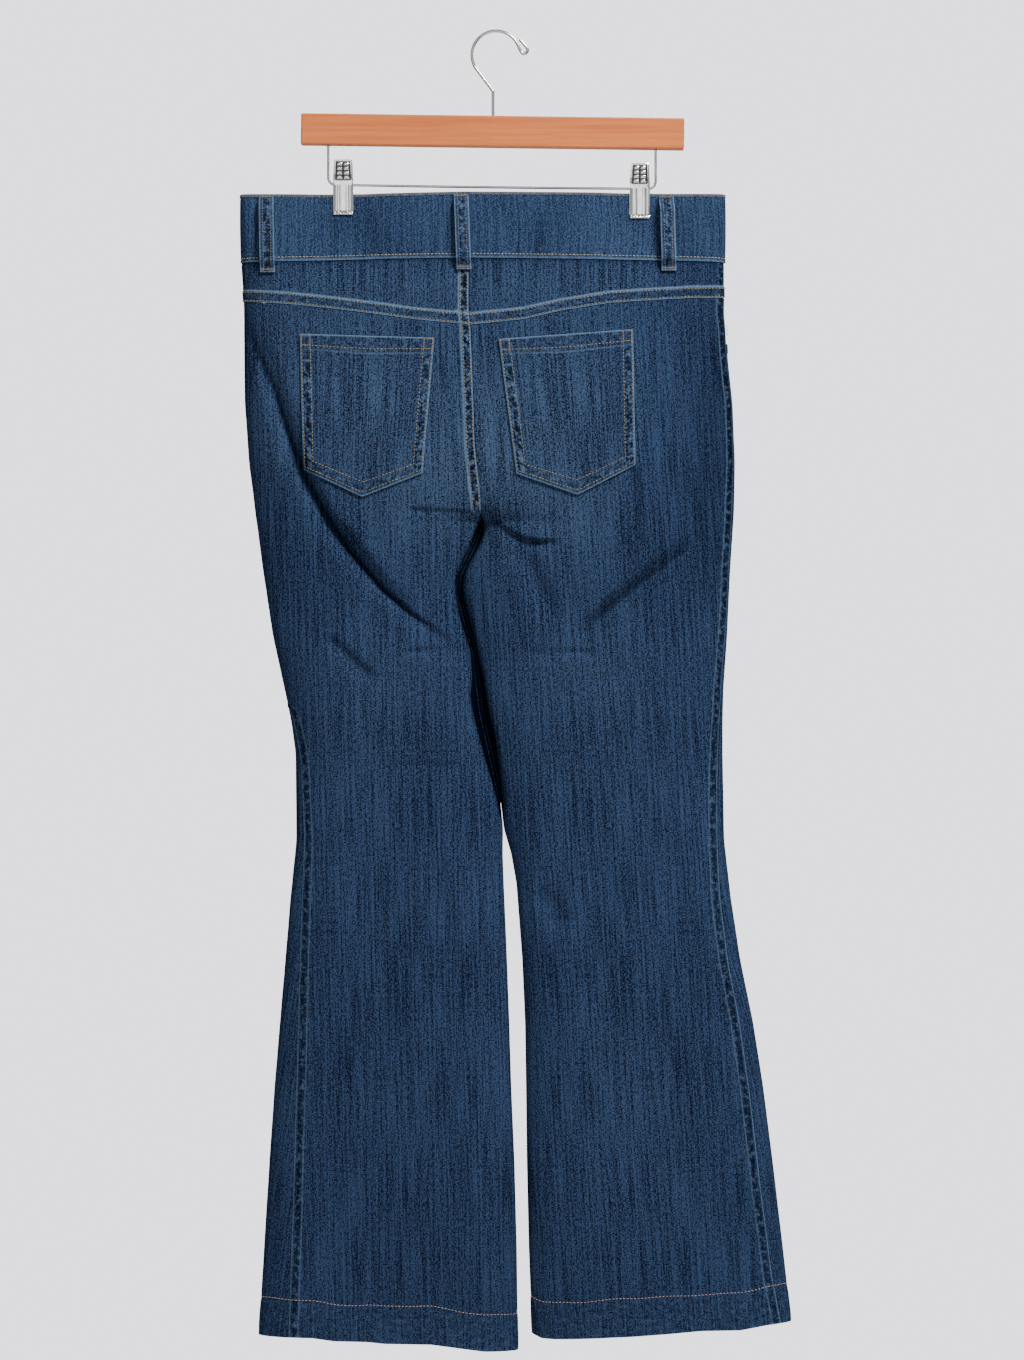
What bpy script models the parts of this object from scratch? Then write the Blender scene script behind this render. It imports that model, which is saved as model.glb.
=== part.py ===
"""Bootcut jeans held by the waistband in two clips of a flat wooden hanger.

The garment is seen from behind by a viewer at -Y, so "back" is the -Y side, and "left" and
"right" are the viewer's. The origin is the inside top of the hanger's hook. Tables are in
millimetres. A "drop" is how far a point hangs below the origin, and an "arc" is a length
along the cloth of one half of the garment, from its back inner edge round the side to its
front inner edge.
"""

import math

import bmesh
import bpy
import numpy as np
from mathutils.bvhtree import BVHTree

MM = 0.001
COLLECTION = "bootcut_jeans_on_hanger"

# Cloth
PANEL_WALL = 1.5
HEM_WALL = 2.6
BAND_WALL = 2.0
BAND_LIFT = 0.4
SEAM_GAP = 0.3
HALF_SHIFT = 0.1
INSEAM_GAP = 0.05
SIDE_GAP = 0.4
CROSSING_GAP = 0.7
CROSSING = 634.0
CROSSING_SPREAD = 50.0
EDGE_RADIUS = 6.5
EDGE_SHARE = 0.42
FELL_WIDTH = 9.0
FELL_RISE = 0.8
FELL_STEP = 0.6
FELL_END = 415.0
FELL_FADE = 14.0

# Heights of the garment, as drops
WAIST_TOP = 152.5
WAIST_SEAM = 213.5
YOKE_SEAM = 262.0
YOKE_FREE = 330.0
YOKE_FELL = 10.5
CROTCH = 455.0
CROTCH_ROUND = 36.0
HEM_FREE = 1060.0
HEM_FOLD = 1176.0
HEM_STEP = 1.0
HEM_EDGE = 1210.0
SURFACE_TOP = 146.0
SURFACE_BOTTOM = 1228.0

# Outer edges of the garment
OUTLINE = (
    # drop, left, right
    (146, -237.6, 212.8),
    (215, -236.8, 212.6),
    (250, -234.6, 213.2),
    (305, -234.0, 215.5),
    (345, -233.6, 219.8),
    (400, -229.6, 222.0),
    (445, -224.0, 221.2),
    (500, -216.6, 217.6),
    (560, -207.6, 214.8),
    (610, -196.6, 211.4),
    (640, -190.4, 210.6),
    (670, -186.3, 210.6),
    (750, -185.6, 212.0),
    (805, -191.2, 218.4),
    (860, -195.8, 226.8),
    (920, -201.0, 239.0),
    (980, -206.0, 248.4),
    (1050, -210.8, 257.4),
    (1130, -215.8, 266.8),
    (1228, -221.6, 277.6),
)

# Inner edges of the legs, below the crotch
INSEAM = (
    # drop, left leg, right leg
    (455, -13.6, -12.4),
    (477, -20.9, -20.1),
    (491, -28.3, -27.5),
    (505, -34.9, -34.1),
    (519, -35.7, -34.9),
    (546, -29.1, -28.3),
    (575, -20.8, -20.0),
    (630, -14.7, -13.9),
    (685, -2.4, -1.4),
    (713, 3.2, 4.9),
    (740, 5.2, 8.6),
    (762, 6.2, 13.8),
    (790, 7.2, 18.8),
    (860, 10.2, 24.2),
    (920, 12.4, 26.9),
    (980, 14.2, 27.8),
    (1050, 17.2, 28.6),
    (1130, 19.3, 30.4),
    (1228, 20.5, 34.2),
)

# Centre seams, above the crotch
CENTRE_SEAM = (
    # drop, back seam, front seam
    (146, -25.3, 5.6),
    (262, -25.2, 5.2),
    (275, -23.4, 4.4),
    (345, -20.6, 0.0),
    (385, -19.4, -3.5),
    (430, -14.4, -9.4),
    (455, -13.0, -13.0),
)

# How far each face stands from the garment's middle plane
DEPTH = (
    # drop, back, front
    (146, 7.0, 7.0),
    (165, 7.6, 7.4),
    (215, 11.2, 10.6),
    (255, 17.5, 15.4),
    (300, 23.5, 19.0),
    (345, 26.5, 20.0),
    (400, 27.5, 20.0),
    (455, 24.5, 19.0),
    (520, 21.5, 18.0),
    (620, 19.0, 17.0),
    (700, 17.5, 16.0),
    (790, 16.5, 16.0),
    (900, 17.0, 16.5),
    (1050, 18.0, 17.5),
    (1228, 20.0, 19.5),
)

# Side seams: how far in from the outer edge each one lies, minus where it has gone round to the front
SIDE_SEAM = (
    # drop, left, right
    (146, -39.0, 1.2),
    (260, -38.0, 1.6),
    (345, -36.5, 0.8),
    (440, -32.0, 1.8),
    (530, -22.0, 1.4),
    (634, 1.6, 2.6),
    (698, 5.6, 5.8),
    (752, 7.4, 6.7),
    (800, 10.6, 10.2),
    (865, 13.9, 12.0),
    (972, 20.4, 13.6),
    (1078, 24.6, 14.8),
    (1160, 27.0, 14.2),
    (1228, 28.8, 9.6),
)

# Lower edge of the yokes
YOKE_LINE = (
    # arc from the centre seam, left drop, right drop
    (0, 273.4, 273.4),
    (50, 268.6, 268.4),
    (85, 263.6, 260.4),
    (130, 258.0, 253.2),
    (165, 254.4, 250.8),
    (205, 251.4, 248.6),
    (245, 249.6, 247.2),
)

# Lower edge of the legs
HEM_LINE = (
    # across, drop
    (-222, 1207.4),
    (-150, 1210.8),
    (-60, 1214.0),
    (-10, 1221.0),
    (21, 1221.6),
    (33, 1206.8),
    (52, 1209.8),
    (125, 1206.8),
    (190, 1201.4),
    (277, 1194.6),
)

# Folds hanging from the seat, crotch and hips: a trough along each route, with a lip on one side
FOLDS = (
    # name, face, depth, half-width, lip, route of (across, drop)
    ("left drag", "back", 6.0, 8.0, 0.45,
     ((-231, 259), (-204, 327), (-185, 394), (-157, 451), (-103, 515), (-55, 557))),
    ("left thigh echo", "back", 2.6, 8.0, 0.3, ((-152, 566), (-111, 605))),
    ("right drag", "back", 4.8, 8.0, -0.5, ((168, 480), (129, 513), (101, 537), (76, 562))),
    ("right hip drop", "back", 2.2, 7.0, 0.3, ((126, 418), (130, 456), (135, 485))),
    ("crotch overhang", "back", 4.4, 6.5, -0.4, ((-8, 449), (12, 465), (26, 471), (46, 473))),
    ("under the seat", "back", 2.6, 11.0, 0.2, ((25, 482), (36, 503), (47, 529))),
    ("crotch tuck", "back", 2.0, 5.0, 0.3, ((-62, 445), (-32, 446))),
    ("left inner thigh", "back", 2.0, 6.0, 0.3, ((-80, 574), (-36, 575))),
    ("left knee", "back", 1.8, 6.0, 0.3, ((-86, 681), (-30, 682))),
    ("right thigh", "back", 1.8, 6.0, 0.3, ((46, 577), (98, 576))),
    ("right knee", "back", 2.6, 13.0, 0.2, ((42, 802), (66, 828))),
    ("right hip valley", "back", 2.0, 12.0, 0.2, ((190, 281), (184, 308))),
    ("front left whisker", "front", 3.4, 8.0, 0.4, ((-34, 446), (-92, 424), (-158, 418))),
    ("front right whisker", "front", 3.2, 8.0, 0.4, ((16, 446), (78, 426), (140, 420))),
    ("front left drag", "front", 4.4, 9.0, 0.4, ((-190, 470), (-140, 512), (-74, 548))),
    ("front right drag", "front", 4.0, 9.0, 0.4, ((186, 474), (136, 518), (66, 556))),
    ("front left knee", "front", 2.4, 9.0, 0.3, ((-130, 704), (-58, 716))),
    ("front right knee", "front", 2.4, 9.0, 0.3, ((84, 712), (154, 702))),
)

# Shares of a fold's route over which it grows and dies away, and its lip's place in half-widths
FOLD_GROWS = 0.22
FOLD_DIES = 0.3
FOLD_LIP = 1.7

# Back pockets: one cut, laid twice
POCKET_MOUTH = 124.4
POCKET_HEEL = 110.0
POCKET_SIDE = 125.4
POCKET_POINT = 23.6
POCKET_HEM = 14.0
POCKET_ROWS = (36.0, 56.0, 75.0, 92.0, 109.0, POCKET_SIDE)
POCKET_COLUMNS = 9
POCKET_GAP = 0.4
LEAST_GAP = 0.3
LAYING_PASSES = 4
LAYING_PLACES = (0.0, 0.17, 0.33, 0.5, 0.67, 0.83, 1.0)
VIEWER = 300.0
POCKETS = (
    # name, side, across of mouth's middle, its drop, turn in degrees
    ("back_pocket_left", "left", -118.9, 284.0, 1.7),
    ("back_pocket_right", "right", 64.5, 282.4, -4.2),
)

# Scooped front pockets
SCOOP_WIDTH = 95.0
SCOOP_DROP = 75.0
FACING_UNDERLAP = 12.0
FACING_LIFT = -2.4

# Belt loops
LOOP_WIDTH = 13.6
LOOP_WALL = 1.7
LOOP_SEAT = 0.45
LOOP_RISE = (
    # share of the length, share of the full stand
    (0.0, 0.0),
    (0.05, 0.0),
    (0.15, 1.0),
    (0.5, 1.0),
    (0.84, 1.0),
    (0.94, 0.0),
    (1.0, 0.0),
)
LOOPS = (
    # name, face, across at the top and at the foot, drop of both, stand, seam under the foot
    ("belt_loop_back_left", "back", -213.0, -211.4, 152.6, 224.8, 5.9, 0.0),
    ("belt_loop_back_centre", "back", -32.3, -29.6, 151.6, 222.2, 5.9, FELL_RISE),
    ("belt_loop_back_right", "back", 158.6, 160.4, 152.2, 223.4, 7.2, 0.0),
    ("belt_loop_front_left", "front", -92.0, -91.0, 152.6, 223.6, 5.9, 0.0),
    ("belt_loop_front_right", "front", 96.0, 96.5, 152.4, 223.4, 6.3, 0.0),
)

# Hanger
BAR_SIZE = (356.0, 12.0, 29.0)
BAR_CENTRE = (-3.2, 92.4)
BAR_TILT = 0.75
BAR_EDGE = 1.4
HOOK_WIRE = 3.0
HOOK_BEND = 22.4
HOOK_TURN = (38, 214)
HOOK_STEM = (
    # across, drop: from the bend's end into the stem
    (-4.0, 52.9),
    (-2.8, 56.1),
)
HOOK_SEAT_DEPTH = 13.0
HOOK_TIP = (
    # across, drop: from the turned-back tip round to the hook's bend
    (22.6, 7.2),
    (25.4, 10.3),
    (28.2, 13.6),
    (29.3, 16.4),
    (28.2, 18.9),
    (25.9, 19.8),
    (23.7, 18.6),
    (22.3, 15.9),
    (20.2, 11.4),
)
CLIP_WIRE = 2.5
CLIP_WIRE_LEGS = (-155.9, 148.3)
CLIP_WIRE_LOW = (141.6, 145.2)
WIRE_SEAT_DEPTH = 12.0
WIRE_CORNER = 7.0
WIRE_END_GAP = 1.0
HOLE_PLAY = 0.35
HOLE_OVERRUN = 3.0

# Clips
CLIPS = (
    # name, across
    ("clip_left", -141.9),
    ("clip_right", 133.4),
)
CLIP_METAL = 0.9
CLIP_CROWN = 0.5
CLIP_PROFILE = (
    # below the wire, out from the middle plane, half-width, flange
    (-22.4, 9.2, 7.6, 0.9),
    (-17.0, 8.6, 8.2, 1.0),
    (-9.0, 6.6, 8.8, 1.2),
    (-4.0, 4.9, 9.4, 2.0),
    (0.0, 4.2, 9.4, 2.2),
    (6.0, 3.8, 9.4, 1.2),
    (14.0, 3.7, 9.4, 0.6),
    (24.0, 3.6, 9.4, 0.5),
    (28.0, 4.2, 8.6, 0.4),
)
PINCH = 1.85
PINCH_FLAT = 13.0
PINCH_SPREAD = 24.0
PINCH_FULL = 176.0
PINCH_FREE = 240.0
SPRING_RADIUS = 2.9
SPRING_LENGTH = 10.0

# Columns and rows of the cloth grids
FROM_CENTRE = (0.0, 5.0, 12.0, 24.0)
FROM_FELL = (0.0, FELL_WIDTH - 0.3, FELL_WIDTH + 0.4, 25.0)
BACK_FROM_SIDE = (0.0, 12.0, 25.0, 38.0, 52.0)
FRONT_FROM_SIDE = (0.0, 13.0, 27.0, 44.0, 62.0, 80.0, 91.0, 95.5)
BACK_MIDDLE = 8
FRONT_MIDDLE = 3
ROW_STEPS = (
    # drop, step to the next row
    (262, 21.0),
    (420, 14.0),
    (540, 16.0),
    (640, 26.0),
    (760, 42.0),
    (1176, 44.0),
)
YOKE_ROWS = (0.0, 0.5, 1.0)
FRONT_TOP_ROWS = (0.0, 0.09, 0.2, 0.42, 0.7)
FACING_ROWS = 6
BAND_ROWS = 5
BAND_FROM_EDGE = (0.0, 7.0, 14.0, 24.0)
BAND_MIDDLE = 9

# Colours as linear values: colour, roughness, metallic
FINISHES = {
    "denim": ((0.022, 0.060, 0.130, 1.0), 0.9, 0.0),
    "denim_band": ((0.026, 0.068, 0.140, 1.0), 0.88, 0.0),
    "denim_facing": ((0.018, 0.050, 0.110, 1.0), 0.9, 0.0),
    "wood": ((0.62, 0.29, 0.13, 1.0), 0.45, 0.0),
    "chrome": ((0.75, 0.76, 0.78, 1.0), 0.15, 1.0),
}

SHARP_ANGLE = 50.0

SIDES = {"left": -1.0, "right": 1.0}
SURFACE_STEP = 1.0
SECTION_POINTS = 160
ARC_POINTS = 220
SMOOTHING = 17


def clear_scene():
    """Empty the file of what an earlier run left."""
    for obj in list(bpy.data.objects):
        bpy.data.objects.remove(obj, do_unlink=True)
    for old in list(bpy.data.collections):
        bpy.data.collections.remove(old)


def collection(name):
    """A collection linked to the scene."""
    made = bpy.data.collections.new(name)
    bpy.context.scene.collection.children.link(made)
    return made


def finish(name):
    """The material with this name, made once."""
    if name in bpy.data.materials:
        return bpy.data.materials[name]
    colour, roughness, metallic = FINISHES[name]
    material = bpy.data.materials.new(name)
    material.use_nodes = True
    shader = material.node_tree.nodes["Principled BSDF"]
    shader.inputs["Base Color"].default_value = colour
    shader.inputs["Roughness"].default_value = roughness
    shader.inputs["Metallic"].default_value = metallic
    material.diffuse_color = colour
    return material


def column(table, index):
    """One column of a table against its first, as two arrays."""
    rows = np.array(table, float)
    return rows[:, 0], rows[:, index]


def read(table, index, where):
    """A table's column read between its rows."""
    places, values = column(table, index)
    return np.interp(where, places, values)


LEVELS = np.arange(SURFACE_TOP, SURFACE_BOTTOM + SURFACE_STEP, SURFACE_STEP)


def along_levels(table, index):
    """A table's column at each level of the surface, with its corners eased."""
    reach = SMOOTHING // 2
    values = np.pad(read(table, index, LEVELS), reach, mode="reflect", reflect_type="odd")
    kernel = np.hanning(SMOOTHING + 2)[1:-1]
    return np.convolve(values, kernel / kernel.sum(), "valid")


def ease(value):
    """A soft step from 0 to 1."""
    value = np.clip(value, 0.0, 1.0)
    return value * value * (3.0 - 2.0 * value)


def round_end(distance, extent):
    """Height, 0 to 1, of an elliptical end at a distance from its tip."""
    return np.sqrt(1.0 - (1.0 - np.clip(distance / extent, 0.0, 1.0)) ** 2)


def fold_field(face, across, drop):
    """How far the cloth of one face is pushed inwards at each point by its folds."""
    push = np.zeros_like(across)
    for _, on_face, depth, half_width, lip, route in FOLDS:
        if on_face != face:
            continue
        nearest = np.full_like(across, 1e9)
        signed = np.zeros_like(across)
        lengths = [math.dist(a, b) for a, b in zip(route, route[1:])]
        whole = sum(lengths)
        reached = np.zeros_like(across)
        walked = 0.0
        for start, end, length in zip(route, route[1:], lengths):
            run = np.subtract(end, start) / length
            away_x, away_d = across - start[0], drop - start[1]
            ahead = np.clip(away_x * run[0] + away_d * run[1], 0.0, length)
            off_x, off_d = away_x - ahead * run[0], away_d - ahead * run[1]
            distance = np.hypot(off_x, off_d)
            closer = distance < nearest
            side = np.sign(away_x * run[1] - away_d * run[0])
            signed = np.where(closer, distance * side, signed)
            reached = np.where(closer, (walked + ahead) / whole, reached)
            nearest = np.minimum(nearest, distance)
            walked += length
        fade = ease(reached / FOLD_GROWS) * ease((1.0 - reached) / FOLD_DIES)
        trough = np.exp(-((signed / half_width) ** 2))
        crest = np.exp(-(((signed - FOLD_LIP * half_width) / half_width) ** 2))
        push += depth * fade * (trough - lip * crest)
    return push


def pinch(across, drop, depth):
    """Depth of a face after the clips have pressed the waistband together."""
    held = 1.0 - ease((drop - PINCH_FULL) / (PINCH_FREE - PINCH_FULL))
    near = np.zeros_like(across)
    for _, centre in CLIPS:
        beyond = np.maximum(np.abs(across - centre) - PINCH_FLAT, 0.0)
        near = np.maximum(near, np.exp(-((beyond / PINCH_SPREAD) ** 2)))
    return depth - (depth - PINCH) * np.where(depth > PINCH, near * held, 0.0)


def half_surface(side):
    """Points, outward normals and lengths of one half of the cloth, level by level."""
    sign = SIDES[side]
    pick = 1 if side == "left" else 2
    above = LEVELS < CROTCH
    edge = along_levels(OUTLINE, pick)
    inseam = along_levels(INSEAM, pick)
    rise = np.clip((CROTCH - LEVELS) / CROTCH_ROUND, 0.0, 1.0)
    t = (1.0 - np.cos(np.pi * np.linspace(0.0, 1.0, SECTION_POINTS))) / 2.0
    faces = []
    for face, index in (("back", 1), ("front", 2)):
        depth = along_levels(DEPTH, index)
        seam = along_levels(CENTRE_SEAM, index) + sign * HALF_SHIFT
        inner = np.where(above, seam, inseam)
        width = np.abs(edge - inner)
        extent = np.minimum(depth**2 / EDGE_RADIUS, width * EDGE_SHARE)
        run = width[:, None] * t
        across = inner[:, None] + sign * run
        shift = (rise * extent)[:, None]
        shape = round_end(run + shift, extent[:, None])
        shape = shape * round_end(width[:, None] - run, extent[:, None])
        drop = np.repeat(LEVELS[:, None], SECTION_POINTS, axis=1)
        stand = pinch(across, drop, depth[:, None] * shape)
        stand = stand - fold_field(face, across, drop) * shape**2
        faces.append((across, stand * (-1.0 if face == "back" else 1.0)))
    (back_x, back_y), (front_x, front_y) = faces
    across = np.concatenate([back_x, front_x[:, -2::-1]], axis=1)
    away = np.concatenate([back_y, front_y[:, -2::-1]], axis=1)
    steps = np.hypot(np.diff(across, axis=1), np.diff(away, axis=1))
    arcs = np.concatenate([np.zeros((len(LEVELS), 1)), np.cumsum(steps, axis=1)], axis=1)
    even = np.linspace(0.0, 1.0, ARC_POINTS)
    points = np.zeros((len(LEVELS), ARC_POINTS, 3))
    for row, drop in enumerate(LEVELS):
        places = arcs[row] / arcs[row, -1]
        points[row, :, 0] = np.interp(even, places, across[row])
        points[row, :, 1] = np.interp(even, places, away[row])
        points[row, :, 2] = -drop
    along = np.gradient(points, axis=1)
    along[~above, 0] = along[~above, -1] = (points[~above, 1] - points[~above, -2]) / 2.0
    down = np.gradient(points, axis=0)
    normals = np.cross(along, down) * -sign
    normals /= np.linalg.norm(normals, axis=2, keepdims=True)
    edge_arc = arcs[:, SECTION_POINTS - 1]
    inset = np.abs(edge[:, None] - across)
    inset[:, SECTION_POINTS:] *= -1.0
    wanted = along_levels(SIDE_SEAM, pick)
    seam_arc = [np.interp(-wanted[row], -inset[row], arcs[row]) for row in range(len(LEVELS))]
    return {
        "points": points,
        "normals": normals,
        "length": arcs[:, -1],
        "edge": edge_arc,
        "seam": np.array(seam_arc),
    }


def at_level(values, drop):
    """A value of the surface at any drop."""
    return np.interp(drop, LEVELS, values)


def on_surface(half, drop, arc, lift=0.0):
    """Points at these drops and arcs, moved out by lift along the cloth's own normal."""
    level = (np.asarray(drop) - SURFACE_TOP) / SURFACE_STEP
    place = np.asarray(arc) / at_level(half["length"], drop) * (ARC_POINTS - 1)
    row = np.clip(np.floor(level).astype(int), 0, len(LEVELS) - 2)
    col = np.clip(np.floor(place).astype(int), 0, ARC_POINTS - 2)
    r = np.clip(level - row, 0.0, 1.0)[..., None]
    c = np.clip(place - col, 0.0, 1.0)[..., None]
    mixed = []
    for field in (half["points"], half["normals"]):
        upper = field[row, col] * (1 - c) + field[row, col + 1] * c
        lower = field[row + 1, col] * (1 - c) + field[row + 1, col + 1] * c
        mixed.append(upper * (1 - r) + lower * r)
    point, normal = mixed
    normal = normal / np.linalg.norm(normal, axis=-1, keepdims=True)
    return point + normal * np.asarray(lift)[..., None]


def arc_of(half, face, across, drop):
    """The arc at which one face of the cloth lies at this distance across."""
    row = int(round((drop - SURFACE_TOP) / SURFACE_STEP))
    xs = half["points"][row, :, 0]
    turn = int(np.argmax(np.abs(xs - xs[0])))
    part = slice(0, turn + 1) if face == "back" else slice(turn, ARC_POINTS)
    places = np.linspace(0.0, half["length"][row], ARC_POINTS)[part]
    xs = xs[part]
    order = np.argsort(xs)
    return float(np.interp(across, xs[order], places[order]))


def panel_arcs(start, end, from_start, from_end, middle):
    """Arcs of a panel's columns: some at set distances from each end, the rest spread between."""
    first = [start + step for step in from_start]
    last = [end - step for step in reversed(from_end)]
    between = np.linspace(first[-1], last[0], middle + 2)[1:-1]
    return np.array(first + list(between) + last)


def add_object(name, points, faces, material):
    """An object from points in millimetres, with its faces turned outwards."""
    mesh = bpy.data.meshes.new(name)
    mesh.from_pydata([tuple(p) for p in np.asarray(points) * MM], [], faces)
    shell = bmesh.new()
    shell.from_mesh(mesh)
    bmesh.ops.recalc_face_normals(shell, faces=shell.faces)
    if shell.calc_volume(signed=True) < 0.0:
        bmesh.ops.reverse_faces(shell, faces=shell.faces)
    shell.to_mesh(mesh)
    shell.free()
    mesh.materials.append(finish(material))
    mesh.shade_smooth()
    mesh.set_sharp_from_angle(angle=math.radians(SHARP_ANGLE))
    obj = bpy.data.objects.new(name, mesh)
    PARTS.objects.link(obj)
    return obj


def wall(name, outer, inner, material, ring=False):
    """A cloth wall between two matching grids of points, closed by rims. A ring joins its ends."""
    rows, cols = outer.shape[:2]
    points = np.concatenate([outer.reshape(-1, 3), inner.reshape(-1, 3)])
    back = rows * cols
    spans = cols if ring else cols - 1
    faces = []
    for row in range(rows - 1):
        for col in range(spans):
            near = row * cols + col
            far = row * cols + (col + 1) % cols
            faces.append((near, far, far + cols, near + cols))
            faces.append((back + near + cols, back + far + cols, back + far, back + near))
    for row, turn in ((0, False), (rows - 1, True)):
        for col in range(spans):
            near = row * cols + col
            far = row * cols + (col + 1) % cols
            rim = (near, back + near, back + far, far)
            faces.append(rim[::-1] if turn else rim)
    if not ring:
        for col, turn in ((0, True), (cols - 1, False)):
            for row in range(rows - 1):
                near = row * cols + col
                rim = (near, back + near, back + near + cols, near + cols)
                faces.append(rim[::-1] if turn else rim)
    return add_object(name, points, faces, material)


def hem_drop(across):
    """Drop of the hem's lower edge at this distance across."""
    return read(HEM_LINE, 1, across)


def leg_rows():
    """Drops of the leg panels' rows before the yoke and hem bend them."""
    rows = [YOKE_SEAM]
    while rows[-1] < HEM_FOLD:
        rows.append(rows[-1] + read(ROW_STEPS, 1, rows[-1]))
    stretch = (HEM_FOLD - YOKE_SEAM) / (rows[-2] - YOKE_SEAM)
    rows = [YOKE_SEAM + (row - YOKE_SEAM) * stretch for row in rows[:-1]]
    return rows + [HEM_FOLD + HEM_STEP, HEM_EDGE]


def bend_rows(half, nominal, arcs, yoke_drop):
    """Drops of one row's points, drawn to the yoke above and to the hem below."""
    to_yoke = np.clip((YOKE_FREE - nominal) / (YOKE_FREE - YOKE_SEAM), 0.0, 1.0)
    to_hem = np.clip((nominal - HEM_FREE) / (HEM_EDGE - HEM_FREE), 0.0, 1.0)
    across = on_surface(half, np.full(len(arcs), nominal), arcs)[:, 0]
    drops = nominal + (yoke_drop - YOKE_SEAM) * to_yoke
    return drops + (hem_drop(across) - HEM_EDGE) * to_hem


def seam_gap_arc(drop):
    """Arc left free at a panel's edge, for half of a seam's gap."""
    return SEAM_GAP / 2.0 if drop > CROTCH - CROTCH_ROUND else INSEAM_GAP


def side_gap_arc(drop):
    """Arc left free at the side seam, wider where the seam crosses the folded edge."""
    return (SIDE_GAP + CROSSING_GAP * math.exp(-(((drop - CROSSING) / CROSSING_SPREAD) ** 2))) / 2.0


def yoke_drops(side, arcs):
    """Drop of the yoke's lower edge at these arcs."""
    return read(YOKE_LINE, 1 if side == "left" else 2, arcs)


def fell_rise(side, drop, col):
    """Thickness added to the left panels along the centre back seam."""
    fade = ease((FELL_END - drop) / FELL_FADE)
    return FELL_RISE * fade if side == "left" and col < 2 else 0.0


def back_from_centre(side):
    """Distances of a back panel's first columns from the centre seam."""
    return FROM_FELL if side == "left" else FROM_CENTRE


def back_row_arcs(half, side, drop):
    """Arcs of a back panel's columns at one drop."""
    gap = seam_gap_arc(drop)
    end = at_level(half["seam"], drop) - side_gap_arc(drop)
    return panel_arcs(gap, end, back_from_centre(side), BACK_FROM_SIDE, BACK_MIDDLE)


def front_row_arcs(half, drop):
    """Arcs of a front panel's columns at one drop, from the side seam to the centre."""
    start = at_level(half["seam"], drop) + side_gap_arc(drop)
    end = at_level(half["length"], drop) - seam_gap_arc(drop)
    return panel_arcs(start, end, FRONT_FROM_SIDE, FROM_CENTRE, FRONT_MIDDLE)


def wall_thickness(nominal):
    """Thickness of a leg panel, doubled over in the hem."""
    return HEM_WALL if nominal >= HEM_FOLD + HEM_STEP else PANEL_WALL


def make_back_leg(side):
    """A back panel: seat, thigh and leg in one piece, hemmed."""
    half = HALVES[side]
    outer, inner = [], []
    top_arcs = back_row_arcs(half, side, YOKE_SEAM)
    line = yoke_drops(side, top_arcs) + SEAM_GAP / 2.0
    for nominal in leg_rows():
        arcs = back_row_arcs(half, side, nominal)
        drops = bend_rows(half, nominal, arcs, line)
        rises = np.array([fell_rise(side, drop, col) for col, drop in enumerate(drops)])
        outer.append(on_surface(half, drops, arcs, rises))
        inner.append(on_surface(half, drops, arcs, np.full(len(arcs), -wall_thickness(nominal))))
    return wall("back_" + side, np.array(outer), np.array(inner), "denim")


def make_yoke(side):
    """A back yoke, with its felled lower edge standing proud."""
    half = HALVES[side]
    arcs = back_row_arcs(half, side, YOKE_SEAM)
    low = yoke_drops(side, arcs) - SEAM_GAP / 2.0
    shelf = low - YOKE_FELL
    high = np.full(len(arcs), WAIST_SEAM + SEAM_GAP / 2.0)
    rows = [(high + (shelf - FELL_STEP - high) * part, 0.0) for part in YOKE_ROWS]
    rows += [(shelf, FELL_RISE), (low, FELL_RISE)]
    outer, inner = [], []
    for drops, rise in rows:
        rises = np.array([max(rise, fell_rise(side, drop, col)) for col, drop in enumerate(drops)])
        outer.append(on_surface(half, drops, arcs, rises))
        inner.append(on_surface(half, drops, arcs, np.full(len(arcs), -PANEL_WALL)))
    return wall("yoke_" + side, np.array(outer), np.array(inner), "denim")


def scoop_drop(from_side):
    """Drop of the front pocket's scooped mouth at a distance from the side seam."""
    inside = np.clip(np.asarray(from_side) / SCOOP_WIDTH, 0.0, 1.0)
    return WAIST_SEAM + SEAM_GAP / 2.0 + SCOOP_DROP * np.sqrt(1.0 - inside**2)


def make_front_leg(side):
    """A front panel, cut away at the top for its scooped pocket."""
    half = HALVES[side]
    seam_line = yoke_drops(side, at_level(half["seam"], YOKE_SEAM)) + SEAM_GAP / 2.0
    lower = [row for row in leg_rows() if row >= YOKE_FREE]
    outer, inner = [], []
    top_arcs = front_row_arcs(half, WAIST_SEAM)
    top = scoop_drop(top_arcs - top_arcs[0])
    for part in FRONT_TOP_ROWS:
        drops = top + (lower[0] - top) * part
        arcs = np.array([front_row_arcs(half, drop)[col] for col, drop in enumerate(drops)])
        outer.append(on_surface(half, drops, arcs))
        inner.append(on_surface(half, drops, arcs, np.full(len(arcs), -PANEL_WALL)))
    for nominal in lower:
        arcs = front_row_arcs(half, nominal)
        drops = bend_rows(half, nominal, arcs, seam_line)
        outer.append(on_surface(half, drops, arcs))
        inner.append(on_surface(half, drops, arcs, np.full(len(arcs), -wall_thickness(nominal))))
    return wall("front_" + side, np.array(outer), np.array(inner), "denim")


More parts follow.
